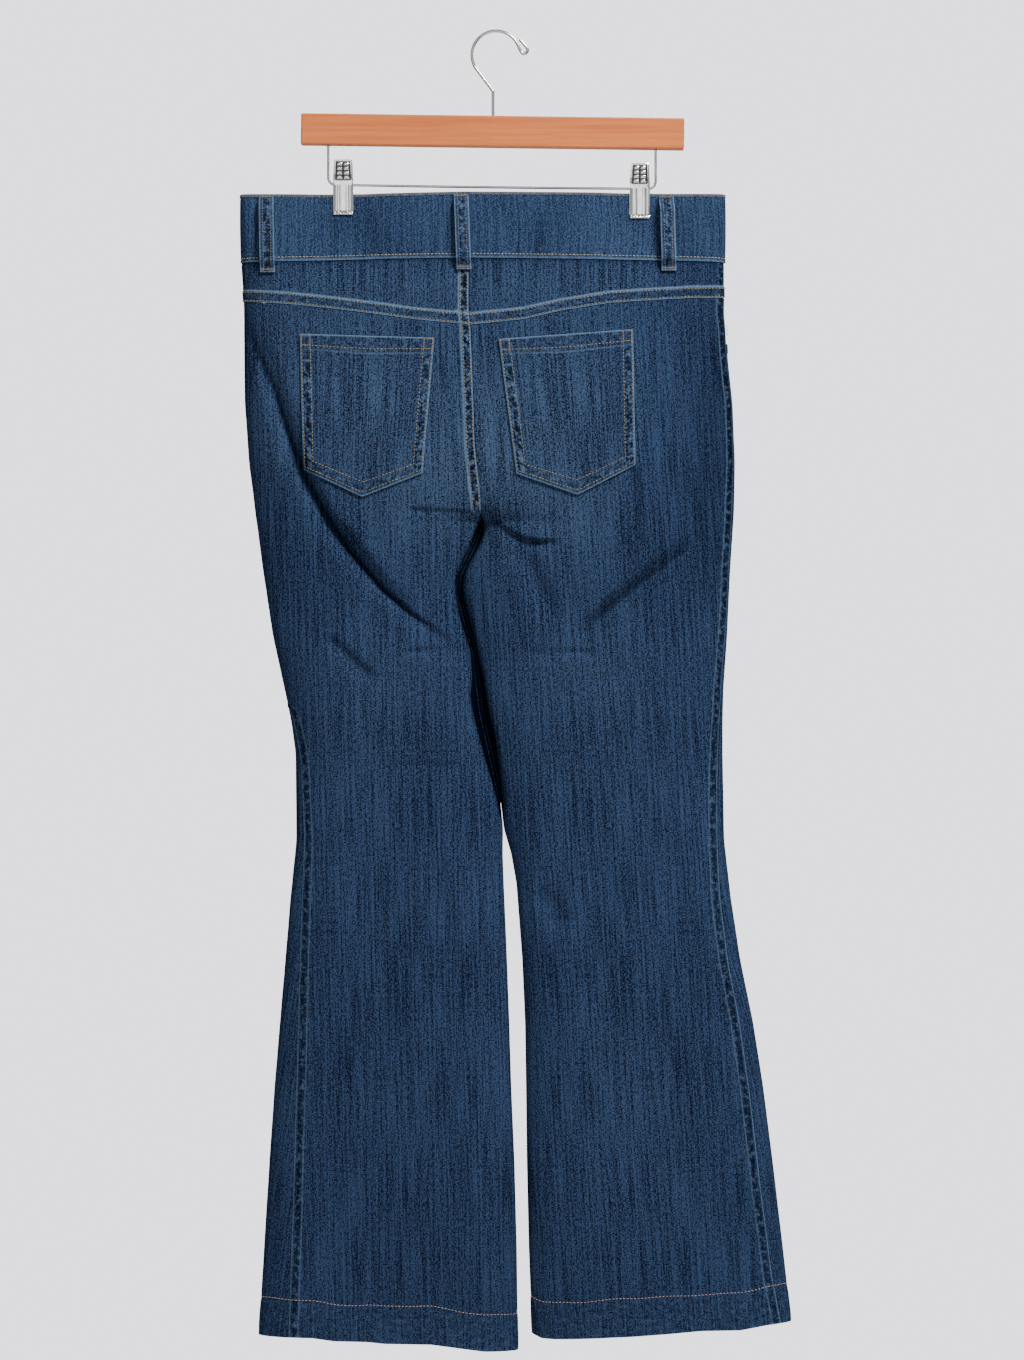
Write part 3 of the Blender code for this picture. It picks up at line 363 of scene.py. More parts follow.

# %% [markdown]
# ## Creases
#
# The jeans hang from two clips, so their weight pulls long creases from the hips down to the
# crotch, and the seat folds over at its lower edge. Each row of the table is one crease: a trough
# along a route, with its own width on each side and a lip beside it. A sharp side makes the cloth
# look folded over, and two soft sides make a shallow dip.

# %% Creases
CREASE_GROWS = 0.14
CREASE_DIES = 0.3
LIP_AT = 1.7
# The cores of the sharpest creases also get a painted shade, as dark as the shadow in a deep fold.
CORE_SHADE_WIDTH = 2.0
CREASE_CORE_SHADE = {
    # name: how dark the painted shade in its core is
    "left drag's core": 1.9,
    "right drag's core": 1.1,
    "seat overhang": 0.2,
    "right hip drop": 0.35,
    "crotch tuck": 0.25,
}
CREASES = (
    # name, face, depth, width on the right or upper side, width on the other, lip,
    # route of (across, drop)
    ("left drag", "back", 6.4, 7.0, 10.0, 0.45,
     ((-231, 259), (-204, 327), (-185, 394), (-157, 451), (-103, 515), (-55, 557))),
    ("left drag's core", "back", 6.4, 1.6, 6.5, 0.15,
     ((-236, 250), (-220, 297), (-205, 331), (-192, 371), (-177, 410), (-158, 446), (-135, 482),
      (-103, 518), (-78, 540), (-54, 557), (-28, 573), (-8, 585))),
    ("left thigh echo", "back", 3.4, 4.5, 9.0, 0.3, ((-158, 560), (-136, 580), (-108, 607))),
    ("left hip ripple", "back", 1.2, 5.0, 7.0, 0.3, ((-219, 300), (-206, 372), (-186, 428))),
    ("left seat ripple", "back", 1.0, 5.0, 8.0, 0.3, ((-186, 448), (-140, 470), (-92, 474))),
    ("right drag", "back", 2.8, 5.0, 9.0, 0.3, ((176, 472), (129, 513), (101, 537), (72, 566))),
    ("right drag's core", "back", 5.2, 1.6, 6.0, 0.15,
     ((182, 474), (168, 486), (132, 513), (102, 537), (76, 561), (64, 573))),
    ("right hip drop", "back", 3.6, 5.5, 1.9, 0.3,
     ((124, 398), (127, 421), (129, 446), (131, 470), (137, 496))),
    ("seat overhang", "back", 5.5, 1.3, 7.0, 0.6,
     ((-15, 442), (-6, 449), (4, 459), (14, 466), (27, 471.5), (42, 473.5), (62, 473))),
    ("under the seat", "back", 4.2, 8.0, 11.0, 0.1, ((18, 474), (32, 499), (45, 527), (52, 552))),
    ("crotch tuck", "back", 1.8, 1.2, 5.0, 0.3, ((-84, 443.4), (-48, 445.4), (-12, 446.6))),
    ("right of the crotch", "back", 3.0, 2.6, 7.0, 0.3, ((-10, 452), (-4, 470), (-8, 492), (-16, 508))),
    ("beside the left pocket", "back", 1.4, 3.0, 4.0, 0.3, ((-56, 311), (-49, 326), (-46, 352))),
    ("left inner thigh", "back", 1.9, 2.2, 6.0, 0.35, ((-86, 576), (-58, 573.6), (-26, 575))),
    ("left knee", "back", 1.5, 2.2, 6.0, 0.35, ((-92, 682), (-60, 680), (-22, 682))),
    ("left shin", "back", 1.1, 8.0, 14.0, 0.2, ((-120, 850), (-70, 858), (-30, 852))),
    ("right thigh", "back", 1.5, 2.4, 6.0, 0.3, ((26, 577), (60, 575.6), (104, 576))),
    ("right thigh upright", "back", 1.9, 3.5, 2.2, 0.3, ((12.5, 566), (12, 596), (12.5, 626))),
    ("right thigh second upright", "back", 1.7, 3.5, 2.2, 0.3, ((57, 582), (57.5, 604), (58, 622))),
    ("right knee", "back", 4.2, 11.0, 13.0, 0.2, ((36, 796), (52, 812), (72, 834))),
    ("right knee line", "back", 1.5, 2.2, 5.0, 0.3, ((28, 826), (50, 824), (82, 826))),
    ("right hip valley", "back", 5.0, 11.0, 8.0, 0.25, ((200, 232), (193, 281), (185, 330), (184, 392))),
    ("below the centre loop", "back", 1.0, 6.0, 6.0, 0.3, ((-42, 222), (-70, 232), (-112, 240))),
    ("yoke sag", "back", 1.2, 8.0, 9.0, 0.2, ((-150, 240), (-90, 252), (-36, 258))),
    ("front left whisker", "front", 3.4, 5.0, 8.0, 0.4, ((-34, 446), (-92, 424), (-158, 418))),
    ("front left second whisker", "front", 1.8, 5.0, 7.0, 0.4, ((-30, 462), (-88, 447), (-150, 446))),
    ("front right whisker", "front", 3.2, 5.0, 8.0, 0.4, ((16, 446), (78, 426), (140, 420))),
    ("front right second whisker", "front", 1.7, 5.0, 7.0, 0.4, ((12, 463), (70, 449), (128, 446))),
    ("front left drag", "front", 4.4, 7.0, 9.0, 0.4, ((-190, 470), (-140, 512), (-74, 548))),
    ("front right drag", "front", 4.0, 7.0, 9.0, 0.4, ((186, 474), (136, 518), (66, 556))),
    ("front left knee", "front", 2.4, 7.0, 9.0, 0.3, ((-130, 704), (-58, 716))),
    ("front right knee", "front", 2.4, 7.0, 9.0, 0.3, ((84, 712), (154, 702))),
    ("front left shin", "front", 1.4, 9.0, 14.0, 0.2, ((-128, 846), (-60, 856))),
    ("front right shin", "front", 1.5, 9.0, 14.0, 0.2, ((90, 850), (160, 838))),
)
print("creases:", len(CREASES), "of them deep:", list(CREASE_CORE_SHADE))

# %% Soft steps and humps


def ease(value):
    """A soft step from 0 to 1."""
    value = np.clip(value, 0.0, 1.0)
    return value * value * (3.0 - 2.0 * value)


def between(value, start, end, rise=0.8, fall=0.8):
    """1 between two places, easing up from 0 after the first and down to 0 before the second."""
    return ease((value - start) / rise) * ease((end - value) / fall)


def hump(value, place, width):
    """A soft ridge, 0 to 1, round a place."""
    return np.exp(-(((value - place) / width) ** 2))


print("a step's eased quarter:", float(ease(0.25)))

# %% Pressing the creases in


def along_route(route, across, drop):
    """Signed distance of points from a route, and the share of the route walked beside them."""
    nearest = np.full_like(across, np.inf)
    signed, reached = np.zeros_like(across), np.zeros_like(across)
    lengths = [math.dist(a, b) for a, b in zip(route, route[1:])]
    walked = 0.0
    for start, end, length in zip(route, route[1:], lengths):
        run = np.subtract(end, start) / length
        away_x, away_d = across - start[0], drop - start[1]
        ahead = np.clip(away_x * run[0] + away_d * run[1], 0.0, length)
        distance = np.hypot(away_x - ahead * run[0], away_d - ahead * run[1])
        closer = distance < nearest
        turn = np.sign(away_x * run[1] - away_d * run[0])
        signed = np.where(closer, distance * turn, signed)
        reached = np.where(closer, (walked + ahead) / sum(lengths), reached)
        nearest = np.minimum(nearest, distance)
        walked += length
    return signed, reached


def crease_push(face, across, drop):
    """How far the creases of one face push the cloth in, and how dark their cores are painted."""
    push, deep = np.zeros_like(across), np.zeros_like(across)
    for name, creased_face, depth, upper, lower, lip, route in CREASES:
        if creased_face != face:
            continue
        signed, reached = along_route(route, across, drop)
        fade = between(reached, 0.0, 1.0, CREASE_GROWS, CREASE_DIES)
        trough = hump(signed, 0.0, np.where(signed > 0.0, upper, lower))
        crest = (1.0 - trough) * hump(signed, 0.0, LIP_AT * max(upper, lower)) * (signed > 0.0)
        push += depth * fade * (trough - lip * crest)
        # Painted shade along the core of each listed crease.
        if name in CREASE_CORE_SHADE:
            line = hump(signed, -CORE_SHADE_WIDTH / 2.0, CORE_SHADE_WIDTH)
            deep = np.maximum(deep, CREASE_CORE_SHADE[name] * fade * line)
    return push, deep


middle_of_drag = np.array([CREASES[1][-1][5]], float).T
print("left drag pushes in", crease_push("back", *middle_of_drag)[0].round(1), "mm")

# %% [markdown]
# ## One surface for each half
#
# Every shell is laid on the same surface, so neighbouring pieces meet without a step. At each
# millimetre of drop the surface is a flattened ring. Its ends are elliptical, the clips pinch it
# at the waist, and the creases push its faces in. It is sampled at even places along the cloth,
# so a point is found by its drop and its arc, and can be lifted off along the cloth's normal.

# %% Reading the tables
LEVEL_STEP = 1.0
SECTION_POINTS = 260
ARC_POINTS = 520
SMOOTHING = 17
LEVELS = np.arange(SURFACE_TOP, SURFACE_BOTTOM + LEVEL_STEP, LEVEL_STEP)
SIDES = {"left": -1.0, "right": 1.0}
COLUMN_OF = {"left": 1, "right": 2}


def read(table, index, where):
    """A table's column read between its rows."""
    rows = np.array(table, float)
    return np.interp(where, rows[:, 0], rows[:, index])


def along_levels(table, index):
    """A table's column at each level, with its corners eased."""
    reach = SMOOTHING // 2
    values = np.pad(read(table, index, LEVELS), reach, mode="reflect", reflect_type="odd")
    kernel = np.hanning(SMOOTHING + 2)[1:-1]
    return np.convolve(values, kernel / kernel.sum(), "valid")


def round_end(distance, extent):
    """Height, 0 to 1, of an elliptical end at a distance from its tip."""
    return np.sqrt(1.0 - (1.0 - np.clip(distance / extent, 0.0, 1.0)) ** 2)


print("levels:", len(LEVELS))

# %% The clips' pinch
CLIPS = (
    # name, across
    ("clip_left", -141.9),
    ("clip_right", 133.4),
)
PINCH = 1.85
PINCH_FLAT = 13.0
PINCH_SPREAD = 24.0
PINCH_FULL = 176.0
PINCH_FREE = 240.0


def pinched(across, drop, depth):
    """Depth of a face after the clips have pressed the waistband together."""
    held = 1.0 - ease((drop - PINCH_FULL) / (PINCH_FREE - PINCH_FULL))
    beyond = [np.maximum(np.abs(across - centre) - PINCH_FLAT, 0.0) for _, centre in CLIPS]
    near = hump(np.minimum(*beyond), 0.0, PINCH_SPREAD)
    return depth - (depth - PINCH) * np.where(depth > PINCH, near * held, 0.0)


print("clips hold the band at", [row[1] for row in CLIPS])

# %% The surface of each half
HALF_SHIFT = 0.1
GRAIN_LINE = {"left": (-118.0, -98.0), "right": (92.0, 152.0)}
GAP_WALL = 3.2
GAP_FLOOR = 0.3


def joined(back, front):
    """Values round one half, level by level: along the back and on along the front."""
    return np.concatenate([back, front[:, -2::-1]], axis=1)


def walked_along(across, away):
    """How far along the cloth each point of each level lies."""
    steps = np.hypot(np.diff(across, axis=1), np.diff(away, axis=1))
    return np.concatenate([np.zeros((len(LEVELS), 1)), np.cumsum(steps, axis=1)], axis=1)


def half_surface(side):
    """Points, outward normals and lengths of one half of the cloth, level by level."""
    sign = SIDES[side]
    pick = COLUMN_OF[side]
    above = LEVELS < CROTCH
    edge = along_levels(OUTLINE, pick)
    inseam = along_levels(INSEAM, pick)
    rise = np.clip((CROTCH - LEVELS) / CROTCH_ROUND, 0.0, 1.0)
    t = (1.0 - np.cos(np.pi * np.linspace(0.0, 1.0, SECTION_POINTS))) / 2.0
    places, stands, even = {}, {}, {}
    for face, index in (("front", 2), ("back", 1)):
        depth = along_levels(DEPTH, index)
        seam = along_levels(CENTRE_SEAM, index) + sign * HALF_SHIFT
        inner = np.where(above, seam, inseam)
        width = np.abs(edge - inner)
        extent = np.minimum(depth**2 / EDGE_RADIUS, width * EDGE_SHARE)
        run = width[:, None] * t
        across = inner[:, None] + sign * run
        shape = round_end(run + (rise * extent)[:, None], extent[:, None])
        shape = shape * round_end(width[:, None] - run, extent[:, None])
        drop = np.repeat(LEVELS[:, None], SECTION_POINTS, axis=1)
        stand = pinched(across, drop, depth[:, None] * shape)
        places[face] = across
        stands[face] = stand - crease_push(face, across, drop)[0] * shape**2
        even[face] = stand
    gap = along_levels(THIGH_GAP, pick)[:, None]
    inside = np.clip(gap / GAP_WALL, 0.0, 1.0) * (1.0 - ease((run - gap + GAP_WALL / 2.0) / GAP_WALL))
    stands["back"] += (-GAP_FLOOR * stands["front"] - stands["back"]) * inside
    across = joined(places["back"], places["front"])
    away = joined(-stands["back"], stands["front"])
    arcs = walked_along(across, away)
    flat = walked_along(across, joined(-even["back"], even["front"]))
    shares = np.linspace(0.0, 1.0, ARC_POINTS)
    points = np.zeros((len(LEVELS), ARC_POINTS, 4))
    for row, drop in enumerate(LEVELS):
        along = arcs[row] / arcs[row, -1]
        points[row, :, 2] = -drop
        for axis, values in ((0, across), (1, away), (3, flat)):
            points[row, :, axis] = np.interp(shares, along, values[row])
    points, flat_arc = points[..., :3], points[..., 3:]
    along = np.gradient(points, axis=1)
    along[~above, 0] = along[~above, -1] = (points[~above, 1] - points[~above, -2]) / 2.0
    down = np.gradient(points, axis=0)
    normals = np.cross(along, down) * -sign
    normals /= np.linalg.norm(normals, axis=2, keepdims=True)
    inset = np.abs(edge[:, None] - across)
    inset[:, SECTION_POINTS:] *= -1.0
    wanted = along_levels(SIDE_SEAM, pick)
    seam_arc = [np.interp(-wanted[row], -inset[row], arcs[row]) for row in range(len(LEVELS))]
    grain = {}
    line = np.interp(LEVELS, (YOKE_SEAM, SURFACE_BOTTOM), GRAIN_LINE[side])
    for face, part in (("back", slice(0, SECTION_POINTS)), ("front", slice(SECTION_POINTS - 1, None))):
        order = 1 if (face == "back") == (sign > 0.0) else -1
        levels = zip(line, across[:, part][:, ::order], flat[:, part][:, ::order])
        grain[face] = np.array([np.interp(x, row, arc) for x, row, arc in levels])
    return {
        "points": points,
        "normals": normals,
        "length": arcs[:, -1],
        "edge": arcs[:, SECTION_POINTS - 1],
        "seam": np.array(seam_arc),
        "grain": grain,
        "flat": flat_arc,
    }


HALVES = {side: half_surface(side) for side in SIDES}
for side, half in HALVES.items():
    print(side, "half is", round(float(half["length"][0])), "mm round at the waist")

# %% Finding places on the surface


def at_level(values, drop):
    """A value of the surface at any drop."""
    return np.interp(drop, LEVELS, values)


def sample(half, fields, drop, arc):
    """Values of the surface's fields at these drops and arcs."""
    level = (drop - SURFACE_TOP) / LEVEL_STEP
    place = arc / at_level(half["length"], drop) * (ARC_POINTS - 1)
    row = np.clip(np.floor(level).astype(int), 0, len(LEVELS) - 2)
    col = np.clip(np.floor(place).astype(int), 0, ARC_POINTS - 2)
    r = np.clip(level - row, 0.0, 1.0)[..., None]
    c = np.clip(place - col, 0.0, 1.0)[..., None]
    mixed = []
    for field in (half[name] for name in fields):
        upper = field[row, col] * (1 - c) + field[row, col + 1] * c
        lower = field[row + 1, col] * (1 - c) + field[row + 1, col + 1] * c
        mixed.append(upper * (1 - r) + lower * r)
    return mixed


def on_surface(half, drop, arc, lift=0.0):
    """Points and normals at these drops and arcs, moved out by lift."""
    drop, arc, lift = np.broadcast_arrays(np.asarray(drop, float), np.asarray(arc, float), lift)
    point, normal = sample(half, ("points", "normals"), drop, arc)
    normal = normal / np.linalg.norm(normal, axis=-1, keepdims=True)
    return point + normal * lift[..., None], normal


def across_at(half, drop, arc):
    """How far across the surface lies at these drops and arcs."""
    return on_surface(half, drop, arc)[0][..., 0]


def off_grain(side, face, drops, arcs):
    """How far places lie from the straight grain line down the middle of a leg."""
    drops, arcs = np.broadcast_arrays(np.asarray(drops, float), arcs)
    flat = sample(HALVES[side], ("flat",), drops, arcs)[0][..., 0]
    return flat - at_level(HALVES[side]["grain"][face], drops)


def arc_of(half, face, across, drop):
    """The arc at which one face of the cloth lies at this distance across."""
    row = int(round((drop - SURFACE_TOP) / LEVEL_STEP))
    xs = half["points"][row, :, 0]
    turn = int(np.argmax(np.abs(xs - xs[0])))
    part = slice(0, turn + 1) if face == "back" else slice(turn, ARC_POINTS)
    places = np.linspace(0.0, half["length"][row], ARC_POINTS)[part]
    order = np.argsort(xs[part])
    return float(np.interp(across, xs[part][order], places[order]))


def spread(start, end, from_start, from_end, middle):
    """Places between two ends: some at set distances from each, the rest evenly between."""
    first = [start + step for step in from_start]
    last = [end - step for step in reversed(from_end)]
    evenly = np.linspace(first[-1], last[0], middle + 2)[1:-1]
    return np.array([*first, *evenly, *last])


print("seat stands", round(-float(on_surface(HALVES["right"], 400.0, 90.0)[0][1]), 1), "mm back")

# %% [markdown]
# ## Shader groups shared by the cloths
#
# Stretch denim is woven from uneven dyed yarns along the leg and pale yarns across it. Thick
# and thin places, called slubs, show as broken upright streaks. One group makes those yarns for
# every cloth piece. Garment washing rubs the dye off raised edges and leaves it dark in the
# puckers between two rows of sewing, and a second group makes that wear from two values kept on
# each piece: the distance to the nearest rubbed edge, and how strongly the cloth is puckered.

# %% Helpers for node trees


def new_group(name, inputs, outputs, kind="ShaderNodeTree"):
    """A node group with named inputs (name, kind, default) and outputs (name, kind)."""
    group = bpy.data.node_groups.new(name, kind)
    for title, socket_kind, default in inputs:
        socket = group.interface.new_socket(title, in_out="INPUT", socket_type=socket_kind)
        if default is not None:
            socket.default_value = default
    for title, socket_kind in outputs:
        group.interface.new_socket(title, in_out="OUTPUT", socket_type=socket_kind)
    return group, group.nodes.new("NodeGroupInput"), group.nodes.new("NodeGroupOutput")


def put(tree, kind, settings=(), **values):
    """A node with its settings, and with inputs given by value or by a socket to link.

    i0, i1 and so on are inputs by their number, and any other name is the input's own.
    """
    node = tree.nodes.new(kind)
    for key, value in dict(settings).items():
        setattr(node, key, value)
    for key, value in values.items():
        socket = node.inputs[int(key[1:])] if key[0] == "i" and key[1:].isdigit() else node.inputs[key]
        if isinstance(value, bpy.types.NodeSocket):
            tree.links.new(value, socket)
        else:
            socket.default_value = value
    return node


def result(tree, kind, settings=(), **values):
    """The first output of a new node."""
    return put(tree, kind, settings, **values).outputs[0]


def maths(tree, operation, first, second=0.0, clamp=False):
    """The result of one Math node."""
    settings = {"operation": operation, "use_clamp": clamp}
    return result(tree, "ShaderNodeMath", settings, i0=first, i1=second)


print("node helpers ready")

# %% Noise, ranges, colours and bumps


def stretched(tree, vector, factors):
    """A vector multiplied axis by axis."""
    return result(tree, "ShaderNodeVectorMath", {"operation": "MULTIPLY"}, i0=vector, i1=factors)


def own_place(tree):
    """The place of a point in its piece's own metres."""
    return put(tree, "ShaderNodeTexCoord").outputs["Object"]


def stretched_noise(tree, scale, detail, factors=None):
    """Noise over a piece's own space, stretched axis by axis."""
    place = own_place(tree) if factors is None else stretched(tree, own_place(tree), factors)
    return result(tree, "ShaderNodeTexNoise", Vector=place, Scale=scale, Detail=detail)


def streaks(tree, vector, width, length, detail, turn=0.0):
    """Noise stretched to marks of this width and length, in metres, along V."""
    about = {"rotation_type": "Z_AXIS"}
    turned = result(tree, "ShaderNodeVectorRotate", about, Vector=vector, Angle=turn)
    place = stretched(tree, turned, (1.0 / width, 1.0 / length, 0.0))
    flat = {"noise_dimensions": "2D"}
    form = {"Scale": 1.0, "Detail": detail, "Roughness": 0.6}
    return result(tree, "ShaderNodeTexNoise", flat, Vector=place, **form)


def smooth_range(tree, value, low, high, to_low=0.0, to_high=1.0):
    """A value mapped from one range to another with soft ends."""
    soft = {"interpolation_type": "SMOOTHSTEP"}
    return result(tree, "ShaderNodeMapRange", soft, i0=value, i1=low, i2=high, i3=to_low, i4=to_high)


def attribute(tree, name):
    """The value that a piece keeps on its own points."""
    return put(tree, "ShaderNodeAttribute", {"attribute_name": name}).outputs["Fac"]


def mix_colour(tree, share, first, second):
    """The socket of a colour between two."""
    node = tree.nodes.new("ShaderNodeMix")
    node.data_type = "RGBA"
    for index, value in ((0, share), (6, first), (7, second)):
        if isinstance(value, bpy.types.NodeSocket):
            tree.links.new(value, node.inputs[index])
        else:
            node.inputs[index].default_value = value if index == 0 else (*value, 1.0)
    return node.outputs[2]


def bump(tree, height, distance, normal=None):
    """The normal of a surface raised by a height, on top of another normal."""
    below = {} if normal is None else {"Normal": normal}
    node = put(tree, "ShaderNodeBump", Height=height, Distance=distance, Strength=1.0, **below)
    return node.outputs["Normal"]


print("shader helpers ready")

# %% The yarn group
YARN_LAYERS = (
    # name, width and length of its marks in metres, detail, turn, share of tone, share of height
    ("slub", 0.0021, 0.085, 3.0, 0.0, 0.26, 0.0),
    ("yarn", 0.0011, 0.0045, 2.0, 0.0, 0.24, 0.5),
    ("grain", 0.0013, 0.0013, 1.0, 0.0, 0.42, 0.0),
    ("cloud", 0.07, 0.14, 2.0, 0.0, 0.08, 0.0),
    ("twill", 0.0009, 0.005, 1.0, math.radians(62.0), 0.0, 0.5),
)
TONE_GAIN = 5.0


def make_yarn_group():
    """Tone and height of slubby denim from a place on the cloth in metres."""
    group, given, out = new_group(
        "Denim yarns",
        [("Cloth", "NodeSocketVector", None), ("Contrast", "NodeSocketFloat", 1.0)],
        [("Tone", "NodeSocketFloat"), ("Height", "NodeSocketFloat")],
    )
    tone = height = 0.0
    for _, width, length, detail, turn, toned, raised in YARN_LAYERS:
        marks = streaks(group, given.outputs["Cloth"], width, length, detail, turn)
        if toned:
            tone = maths(group, "ADD", maths(group, "MULTIPLY", marks, toned), tone)
        if raised:
            height = maths(group, "ADD", maths(group, "MULTIPLY", marks, raised), height)
    centred = maths(group, "MULTIPLY", maths(group, "SUBTRACT", tone, 0.5), given.outputs["Contrast"])
    shifted = maths(group, "ADD", maths(group, "MULTIPLY", centred, TONE_GAIN), 0.5, clamp=True)
    group.links.new(shifted, out.inputs["Tone"])
    group.links.new(height, out.inputs["Height"])
    return group


YARNS = make_yarn_group()
print("group:", YARNS.name)

# %% The seam wear group
PUCKER_SIZE = (0.0056, 0.00448)
PUCKER_FINE = (0.0017, 0.0017)
RUB_WIDTH = 0.0019
BLOTCH_SHARE = 0.65


def make_wear_group():
    """Rubbed and dark marks of sewn edges, from the edge's distance and the pucker's strength."""
    given_kinds = (("Cloth", "Vector", None), ("Edge", "Float", 0.1), ("Pucker", "Float", 0.0))
    group, given, out = new_group(
        "Seam wear",
        [(title, "NodeSocket" + kind, default) for title, kind, default in given_kinds],
        [(title, "NodeSocketFloat") for title in ("Rubbed", "Dark", "Height")],
    )
    cloth, edge, pucker = (given.outputs[row[0]] for row in given_kinds)
    blotch = streaks(group, cloth, *PUCKER_SIZE, 1.0)
    fine = streaks(group, cloth, *PUCKER_FINE, 1.0)
    coarse_part = maths(group, "MULTIPLY", blotch, BLOTCH_SHARE)
    mixed = maths(group, "ADD", coarse_part, maths(group, "MULTIPLY", fine, 1.0 - BLOTCH_SHARE))
    near = smooth_range(group, edge, 0.0, RUB_WIDTH, 1.0, 0.0)
    rubbed = maths(group, "MULTIPLY", near, smooth_range(group, fine, 0.25, 0.6, 0.45, 1.0))
    light = maths(group, "MULTIPLY", smooth_range(group, mixed, 0.53, 0.66), pucker)
    made = {
        "Rubbed": maths(group, "MAXIMUM", rubbed, maths(group, "MULTIPLY", light, 0.5)),
        "Dark": maths(group, "MULTIPLY", smooth_range(group, mixed, 0.55, 0.40), pucker),
        "Height": maths(group, "MULTIPLY", maths(group, "SUBTRACT", mixed, 0.5), pucker),
    }
    for title, socket in made.items():
        group.links.new(socket, out.inputs[title])
    return group


WEAR = make_wear_group()
print("group:", WEAR.name)

# %% [markdown]
# ## Denim
#
# The three cloths differ only a little: the waistband and loops are doubled and stay smoother,
# and the pocket facings keep more dye. One function makes them all from the two groups. The
# Principled shader stays in each material, and its Base Color, Normal and Roughness are fed.

# %% Denim materials
DENIM = {
    # name: deep colour, pale colour, contrast, roughness
    "denim": ((0.0022, 0.0032, 0.0100), (0.0240, 0.0430, 0.0880), 1.35, 0.86),
    "denim_band": ((0.0046, 0.0080, 0.0220), (0.0295, 0.0530, 0.1030), 1.2, 0.84),
    "denim_facing": ((0.0018, 0.0026, 0.0085), (0.0190, 0.0350, 0.0740), 1.3, 0.88),
}
RUBBED_COLOUR = (0.110, 0.180, 0.265)
# The pale wash colour also lays painted light, and the ink colour lays painted shade as well as the dark
# of puckers.
WASH_AND_PAINTED_LIGHT_COLOUR = (0.046, 0.078, 0.130)
INK_AND_SHADE_COLOUR = (0.0008, 0.0018, 0.0055)
WASH_AND_PAINTED_LIGHT_SHARE = 0.9
KEPT_DYE_AND_SHADE_SHARE = 0.5
DARK_SHARE = 0.82
RUBBED_SHARE = 0.64
PUCKER_BUMP = 0.0011
YARN_BUMP = 0.00022


def make_denim(name):
    """One denim, from the shared groups."""
    deep, pale, contrast, roughness = DENIM[name]
    material, tree, shader = new_material(name + "_cloth")
    cloth = put(tree, "ShaderNodeUVMap", {"uv_map": "cloth"}).outputs["UV"]
    yarns = put(tree, "ShaderNodeGroup", {"node_tree": YARNS}, Cloth=cloth, Contrast=contrast).outputs
    edge, pucker, wash_and_painted_light = (attribute(tree, title) for title in ("edge", "pucker", "wash_and_painted_light"))
    wear = put(tree, "ShaderNodeGroup", {"node_tree": WEAR}, Cloth=cloth, Edge=edge, Pucker=pucker).outputs
    # The positive part lightens the cloth, painted light included, and the negative part lays painted
    # shade and kept dye in ink.
    pale_wash_and_painted_light = maths(tree, "MULTIPLY", wash_and_painted_light, WASH_AND_PAINTED_LIGHT_SHARE)
    layers = (
        (maths(tree, "MULTIPLY", pale_wash_and_painted_light, yarns["Tone"], clamp=True), WASH_AND_PAINTED_LIGHT_COLOUR),
        (maths(tree, "MULTIPLY", wash_and_painted_light, -KEPT_DYE_AND_SHADE_SHARE, clamp=True), INK_AND_SHADE_COLOUR),
        (maths(tree, "MULTIPLY", wear["Dark"], DARK_SHARE), INK_AND_SHADE_COLOUR),
        (maths(tree, "MULTIPLY", wear["Rubbed"], RUBBED_SHARE), RUBBED_COLOUR),
    )
    colour = mix_colour(tree, yarns["Tone"], deep, pale)
    for share, laid_over in layers:
        colour = mix_colour(tree, share, colour, laid_over)
    tree.links.new(colour, shader.inputs["Base Color"])
    shader.inputs["Roughness"].default_value = roughness
    shader.inputs["Specular IOR Level"].default_value = 0.0
    coarse = bump(tree, wear["Height"], PUCKER_BUMP)
    tree.links.new(bump(tree, yarns["Height"], YARN_BUMP, coarse), shader.inputs["Normal"])
    return material


CLOTH = {name: make_denim(name) for name in DENIM}
print("cloths:", list(CLOTH))

# %% [markdown]
# ## Making a cloth piece
#
# A piece is two matching grids of points, the outer face and the inner face, closed by rims, so
# it is one thin closed wall as real cloth is. Each point also keeps its place on the cloth as a
# UV in metres, its distance to the nearest rubbed edge, its pucker, and how faded by washing it
# is, a value that also carries painted light and painted shade.

# %% Wash-faded places, with painted light and painted shade on the hips and hems
FAR = 100.0
FADES_AND_PAINTED_LIGHT = (
    # face, across, drop, reach across, reach down, amount, negative where the cloth is painted darker
    ("back", -10.0, 390.0, 50.0, 80.0, 0.60),
    ("back", -70.0, 430.0, 50.0, 40.0, 0.30),
    ("back", -115.0, 350.0, 60.0, 70.0, 0.50),
    ("back", 70.0, 350.0, 60.0, 70.0, 0.40),
    ("back", -120.0, 238.0, 110.0, 26.0, 0.22),
    ("back", 90.0, 236.0, 100.0, 26.0, 0.18),
    # Painted light: the left hip is lightened where it curves away from the lamp.
    ("back", -205.0, 330.0, 26.0, 90.0, 0.35),
    ("back", 70.0, 440.0, 50.0, 40.0, 0.30),
    ("back", -110.0, 620.0, 50.0, 110.0, 0.18),
    ("back", 90.0, 620.0, 60.0, 110.0, 0.20),
    ("back", 120.0, 1000.0, 60.0, 150.0, 0.12),
    # Painted shade: the right hip is darkened where it falls away to the side seam.
    ("back", 212.0, 380.0, 46.0, 160.0, -0.75),
    # Painted shade: the hems are darker, as the light from above falls off downwards.
    ("back", -90.0, 1150.0, 120.0, 90.0, -0.20),
    ("back", 140.0, 1190.0, 120.0, 60.0, -0.15),
    ("front", -100.0, 560.0, 60.0, 140.0, 0.60),
    ("front", 90.0, 560.0, 60.0, 140.0, 0.60),
    ("front", 0.0, 330.0, 120.0, 90.0, 0.25),
)


